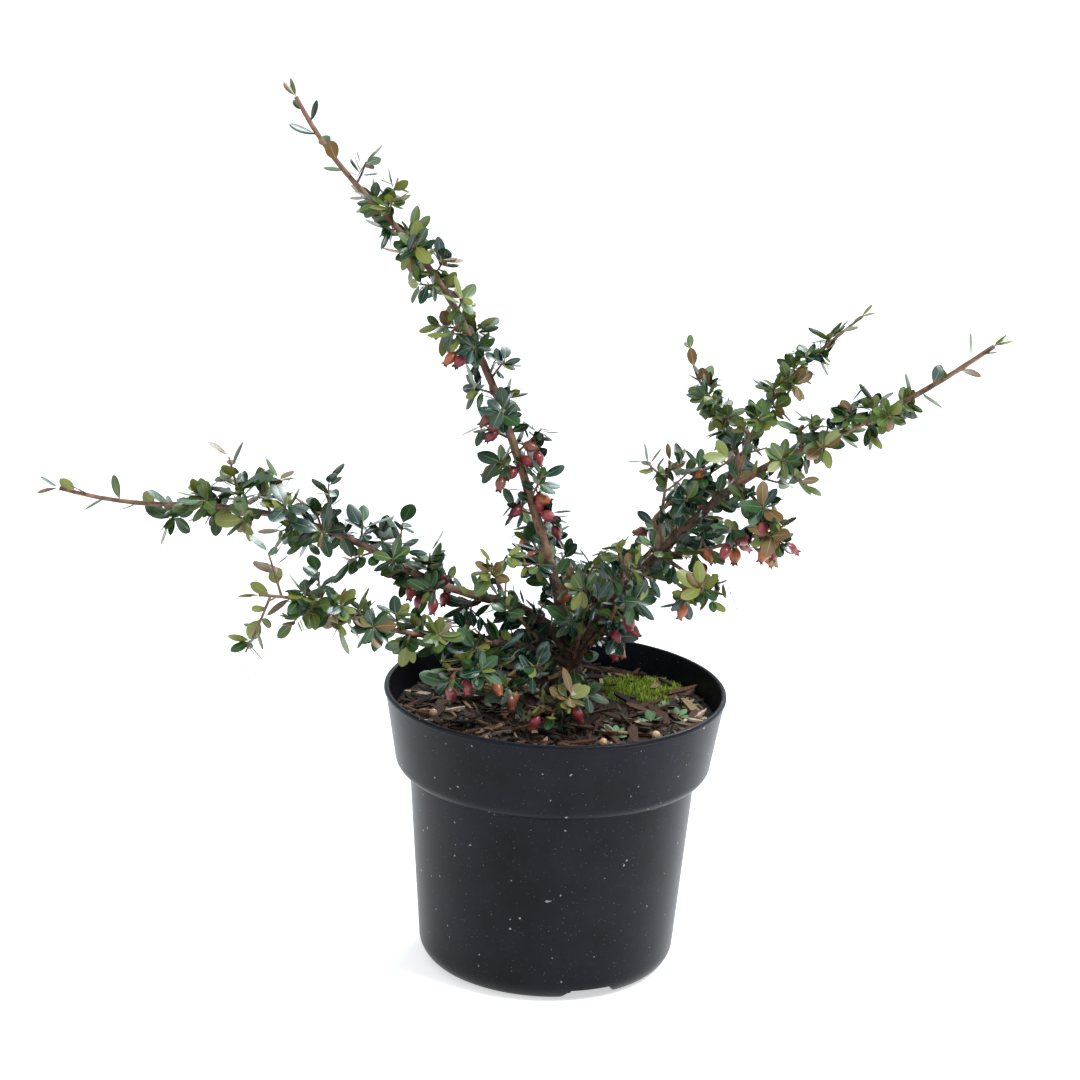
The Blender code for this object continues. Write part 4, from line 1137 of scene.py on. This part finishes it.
def make_moss():
    """Fine upright blades in tufts, over a low ragged mound."""
    draw = random.Random(MOSS_SEED)
    build = Build()
    for _ in range(MOSS_BLADES):
        radius, angle = math.sqrt(draw.random()), draw.uniform(0, 2 * math.pi)
        ragged = 1.12 + 0.75 * noise.noise(Vector((math.cos(angle) * 2.6, math.sin(angle) * 2.6, 0.5)))
        x = MOSS_CENTRE[0] + radius * math.cos(angle) * ragged * MOSS_SIZE[0]
        y = MOSS_CENTRE[1] + radius * math.sin(angle) * ragged * MOSS_SIZE[1]
        if math.hypot(x, y) > inner_radius(SOIL_LEVEL) - 0.002:
            continue
        mound = MOSS_SIZE[2] * 0.55 * max(0.0, 1 - radius * radius)
        mound *= 0.7 + 0.6 * noise.noise(Vector((x / 0.004, y / 0.004, 3.1)))
        foot = np.array((x, y, max(surface_height(x, y), SOIL_LEVEL - 0.001) + mound))
        lean = np.array((draw.uniform(-0.6, 0.6), draw.uniform(-0.6, 0.6), 1.0))
        tuft = max(0.0, noise.noise(Vector((x / 0.0035, y / 0.0035, 7.7))))
        tall = draw.uniform(*MOSS_BLADE) * (0.8 + 2.4 * tuft)
        tip = foot + unit(lean) * tall
        turn = draw.uniform(0, math.pi)
        wide = np.array((math.cos(turn), math.sin(turn), 0.0)) * MOSS_BLADE_HALF_WIDTH
        tint = draw.choices((0, 1, 2), (5, 4, 2))[0]
        build.add([foot - wide - UP * 0.001, foot + wide - UP * 0.001, tip], [(0, 1, 2)], tint)
    materials = [
        new_material("moss green", (0.260, 0.380, 0.040), 0.8, 0.0, 0.2),
        new_material("moss yellow", (0.560, 0.660, 0.120), 0.8, 0.0, 0.2),
        new_material("moss dark", (0.090, 0.140, 0.022), 0.8, 0.0, 0.2),
    ]
    piece(build.make("moss_cushion", materials), "moss", "moss")


# Wood

BOUGH_NODES = {
    "upright": ("upright_bough",), "left": ("left_bough",), "low_left": ("low_left_bough",),
    "right": ("right_bough", "right_bough_outer"), "back": ("back_bough",),
}
TRUNK_SIDES = 22
LIMB_SIDES = 14
LIMB_WOBBLE = 0.16


def fine_course(name, start, end, spacing):
    """Points and radii along a stretch of a shoot."""
    count = max(2, round((end - start) / spacing))
    places = [start + (end - start) * number / count for number in range(count + 1)]
    points = [point_on(COURSES[name], place)[0] for place in places]
    return points, [radius_at(name, place) for place in places]


def make_wood(bark):
    """The trunk with its root flare, and the boughs that run on from it, with bark relief."""
    build = Build()
    foot = np.array((*TRUNK_FOOT, SOIL_LEVEL))
    points, radii = [], []
    for height in np.arange(SOIL_LEVEL - 0.001, FORK[2] + 0.0005, 0.0008):
        share = max(0.0, (height - SOIL_LEVEL) / (FORK[2] - SOIL_LEVEL))
        points.append((*(foot[:2] + (np.array(FORK[:2]) - foot[:2]) * share), height))
        radii.append(float(np.interp(height, TRUNK_HEIGHTS, TRUNK_RADII)) * 0.98)
    add_tube(build, points, radii, TRUNK_SIDES, wobble=0.20)
    for name, shoot in SHOOTS.items():
        if shoot["arm"]:
            points, radii = fine_course(name, 0.0, shoot["arm"] + 0.001, 0.0012)
            add_tube(build, points, radii, LIMB_SIDES, wobble=LIMB_WOBBLE)
    piece(build.make("trunk_bark", [bark]), "bark", "trunk")
    for name, nodes in BOUGH_NODES.items():
        build = Build()
        shoot = SHOOTS[name]
        points, radii = fine_course(name, shoot["arm"] - 0.001, shoot["bough"] + 0.001, 0.0014)
        add_tube(build, points, radii, LIMB_SIDES, wobble=LIMB_WOBBLE)
        piece(build.make(name + "_bough_bark", [bark]), "bark", *nodes)


# Foliage: what is added to the leaves, twigs and fruit that the solids have

# Leaf lengths and gaps are ranges
FILL_PER_SPUR = 8
SPUR_LEAF = (0.0066, 0.0100)
STEM_FILL = dict(
    off_middle=0.0, lean=(0.2, 1.0), lift=0.0, face_out=0.7, unruly=1.4, leaf=(0.0070, 0.0105),
    gap=(0.6 * 0.0024, 1.4 * 0.0024), own_space=True,
)
BOUGH_FILL = dict(
    off_middle=0.8, lean=(0.1, 0.9), lift=0.15, face_out=0.6, unruly=1.6, leaf=(0.0080, 0.0125),
    gap=(0.5 * 0.0010, 1.5 * 0.0010), own_space=False,
)
FILL_LOWEST = SOIL_KEEP_OUT + 0.001
EDGE_ON = 0.93
FRUIT_WITHIN = 0.15
USUAL_FRUIT_CHANCE = 0.50
FRUIT_CHANCE = {
    "upright": 0.40, "left": 0.18, "low_left": 0.0, "right": 0.25, "upper_right": 0.0, "inner_right": 0.10,
}
FRUIT_TINT_WEIGHTS = (6, 4, 3, 3)
TWIG_BOW = 0.0006

# How often each leaf tint is drawn at each age
TINT_WEIGHTS = {"old": (36, 26, 28, 8, 1, 1), "young": (9, 7, 26, 32, 14, 12), "tip": (3, 3, 16, 30, 22, 26)}
TIP_LENGTH = 0.016
# The share of each long shoot, from its tip, that carries young leaves
YOUNG_SHARE = {
    "upright": 0.45, "left": 0.45, "low_left": 0.6, "right": 0.5, "upper_right": 0.85, "inner_right": 0.7,
}
# Leaves this near together share two tints, and some of the small ones are yellow green
SPRAY_SIZE = 0.008
SMALL_LEAF = 0.0074
SMALL_LEAF_YELLOW = 0.45


def fill_spurs(name, twigs, draw):
    """More leaves on each spur, facing out from the shoot, as far as they stay in its space."""
    found = []
    course = COURSES[name]
    for start, end in twigs:
        heading = unit(end - start)
        reach = np.linalg.norm(end - start)
        stem_point = course[np.argmin(np.linalg.norm(course - end, axis=1))]
        from_stem = unit(end - stem_point + UP * 0.002)
        turn = draw.uniform(0, 2 * math.pi)
        for number in range(FILL_PER_SPUR):
            share = draw.uniform(0.35, 1.0)
            spread = math.radians(draw.uniform(45, 95))
            root = start + heading * reach * share
            axis = splayed(heading, turn + number * GOLDEN_ANGLE, spread)
            face = unit(from_stem + UP * 0.35 + jitter(draw) * 1.4)
            if abs(axis.dot(face)) <= EDGE_ON:
                found += if_it_fits(name, root, axis, face, draw.uniform(*SPUR_LEAF))
    return found


def fill_along(name, draw, start, end, kind):
    """Small leaves straight on a stretch of a shoot, on stalks too short to show."""
    found = []
    distance = start
    while distance < end:
        spot, along = point_on(COURSES[name], distance)
        out = round_about(along, draw.uniform(0, 2 * math.pi))
        root = spot + out * radius_at(name, distance) * kind["off_middle"]
        axis = unit(out + along * draw.uniform(*kind["lean"]) + UP * kind["lift"])
        face = unit(out * kind["face_out"] + UP * 0.5 + jitter(draw) * kind["unruly"])
        leaf = (root, axis, face, draw.uniform(*kind["leaf"]))
        if abs(axis.dot(face)) < EDGE_ON:
            if kind["own_space"]:
                found += if_it_fits(name, *leaf)
            elif clear_of_pot(leaf_reach(*leaf), FILL_LOWEST):
                found.append(leaf)
        distance += draw.uniform(*kind["gap"])
    return found


def more_fruit(name, twigs, draw):
    """Fruit on some of the spurs, hanging from them."""
    found = []
    for start, end in twigs:
        chance = draw.random()
        from_foot = np.linalg.norm(start - COURSES[name][0])
        if chance > FRUIT_CHANCE.get(name, USUAL_FRUIT_CHANCE) or from_foot > FRUIT_WITHIN:
            continue
        hang = unit(unit(end - start) * draw.uniform(0.2, 0.7) - UP + jitter(draw) * 0.8)
        reach = draw.uniform(0.0125, 0.0165)
        spot = start + (end - start) * draw.uniform(0.3, 0.9)
        ends = [spot + hang * reach * share for share in (0.5, 0.75, 1.0)]
        if SPACES.hold(name, ends, FRUIT_MARGIN) and clear_of_pot(ends, FILL_LOWEST):
            found.append((spot, hang, reach))
    return found


def add_stems(build, name, twigs, draw):
    """The shoot's own stem, and its twigs, each bowed a little."""
    shoot = SHOOTS[name]
    points, radii = fine_course(name, shoot["bough"], shoot["length"], 0.004)
    add_tube(build, points, [max(radius * 0.96, 0.00055) for radius in radii], 8, wobble=0.12)
    for start, end in twigs:
        count = max(2, round(np.linalg.norm(end - start) / 0.003))
        bow = np.array((draw.uniform(-1, 1), draw.uniform(-1, 1), draw.uniform(-1, 0.3))) * TWIG_BOW
        course, radii = [], []
        for number in range(count + 1):
            course.append(start + (end - start) * number / count + bow * math.sin(math.pi * number / count))
            radii.append(0.0007 - 0.00025 * number / count)
        add_tube(build, course, radii, 6)


def add_leaves(build, name, leaves, draw):
    """The leaves, with two tints to a spray, drawn by the spray's age."""
    shoot = SHOOTS[name]
    tip = COURSES[name][-1]
    young_length = YOUNG_SHARE[name] * shoot["length"] if name in YOUNG_SHARE else 0.6 * shoot["tender"]
    spray, tint_set = None, None
    for leaf in leaves:
        root, _, _, length = leaf
        from_tip = np.linalg.norm(root - tip)
        place = tuple(np.round(root / SPRAY_SIZE))
        if place != spray:
            spray = place
            age = "tip" if from_tip < TIP_LENGTH else "young" if from_tip < young_length else "old"
            tint_set = [draw.choices(range(LEAF_TINTS), TINT_WEIGHTS[age])[0] for _ in range(2)]
        tint = draw.choice(tint_set)
        if length < SMALL_LEAF and draw.random() < SMALL_LEAF_YELLOW:
            tint = YELLOW_TINT
        rib = LEAF_TINTS if tint < DARK_TINTS else LEAF_TINTS + 1
        add_leaf(build, leaf, tint, rib, draw)


def make_foliage(name, leaf_set, twig_bark, fruit_set):
    """A shoot's leaves, twigs and fruit, each kind a piece of its own."""
    shoot = SHOOTS[name]
    twigs, leaves = grow(name)
    draw = random.Random(shoot["seed"] + 5000)
    fill = random.Random(shoot["seed"] + 9000)
    leaves += fill_spurs(name, twigs, fill)
    leaves += fill_along(name, fill, shoot["bough"] + 0.004, shoot["length"] - shoot["tender"], STEM_FILL)
    if shoot["bough"]:
        leaves += fill_along(name, fill, shoot["arm"] * 0.6, shoot["bough"] + 0.004, BOUGH_FILL)
    stems, blades, fruit = Build(), Build(), Build()
    add_stems(stems, name, twigs, draw)
    add_leaves(blades, name, leaves, draw)
    for berry in fruit_of(name) + more_fruit(name, twigs, fill):
        slot = draw.choices(range(len(FRUIT_TINTS)), FRUIT_TINT_WEIGHTS)[0]
        add_fruit(fruit, stems, berry, slot, draw)
    node = name + "_foliage"
    piece(blades.make(name + "_leaves", leaf_set), "foliage", node)
    piece(stems.make(name + "_twigs", [twig_bark]), "foliage", node)
    if fruit.points:
        piece(fruit.make(name + "_fruit", fruit_set), "foliage", node)


def main():
    set_camera()
    set_light()
    make_floor()
    make_pot()
    mix_edge = inner_radius(SOIL_LEVEL) - MIX_GAP
    make_mix(mix_edge)
    make_chips(mix_edge)
    make_moss()
    make_pellets()
    make_weeds()
    make_wood(bark_material())
    leaf_set = [new_material(*values) for values in LEAF_MATERIALS]
    twig_bark = twig_bark_material()
    fruit_set = fruit_materials()
    for name in SHOOTS:
        make_foliage(name, leaf_set, twig_bark, fruit_set)


main()
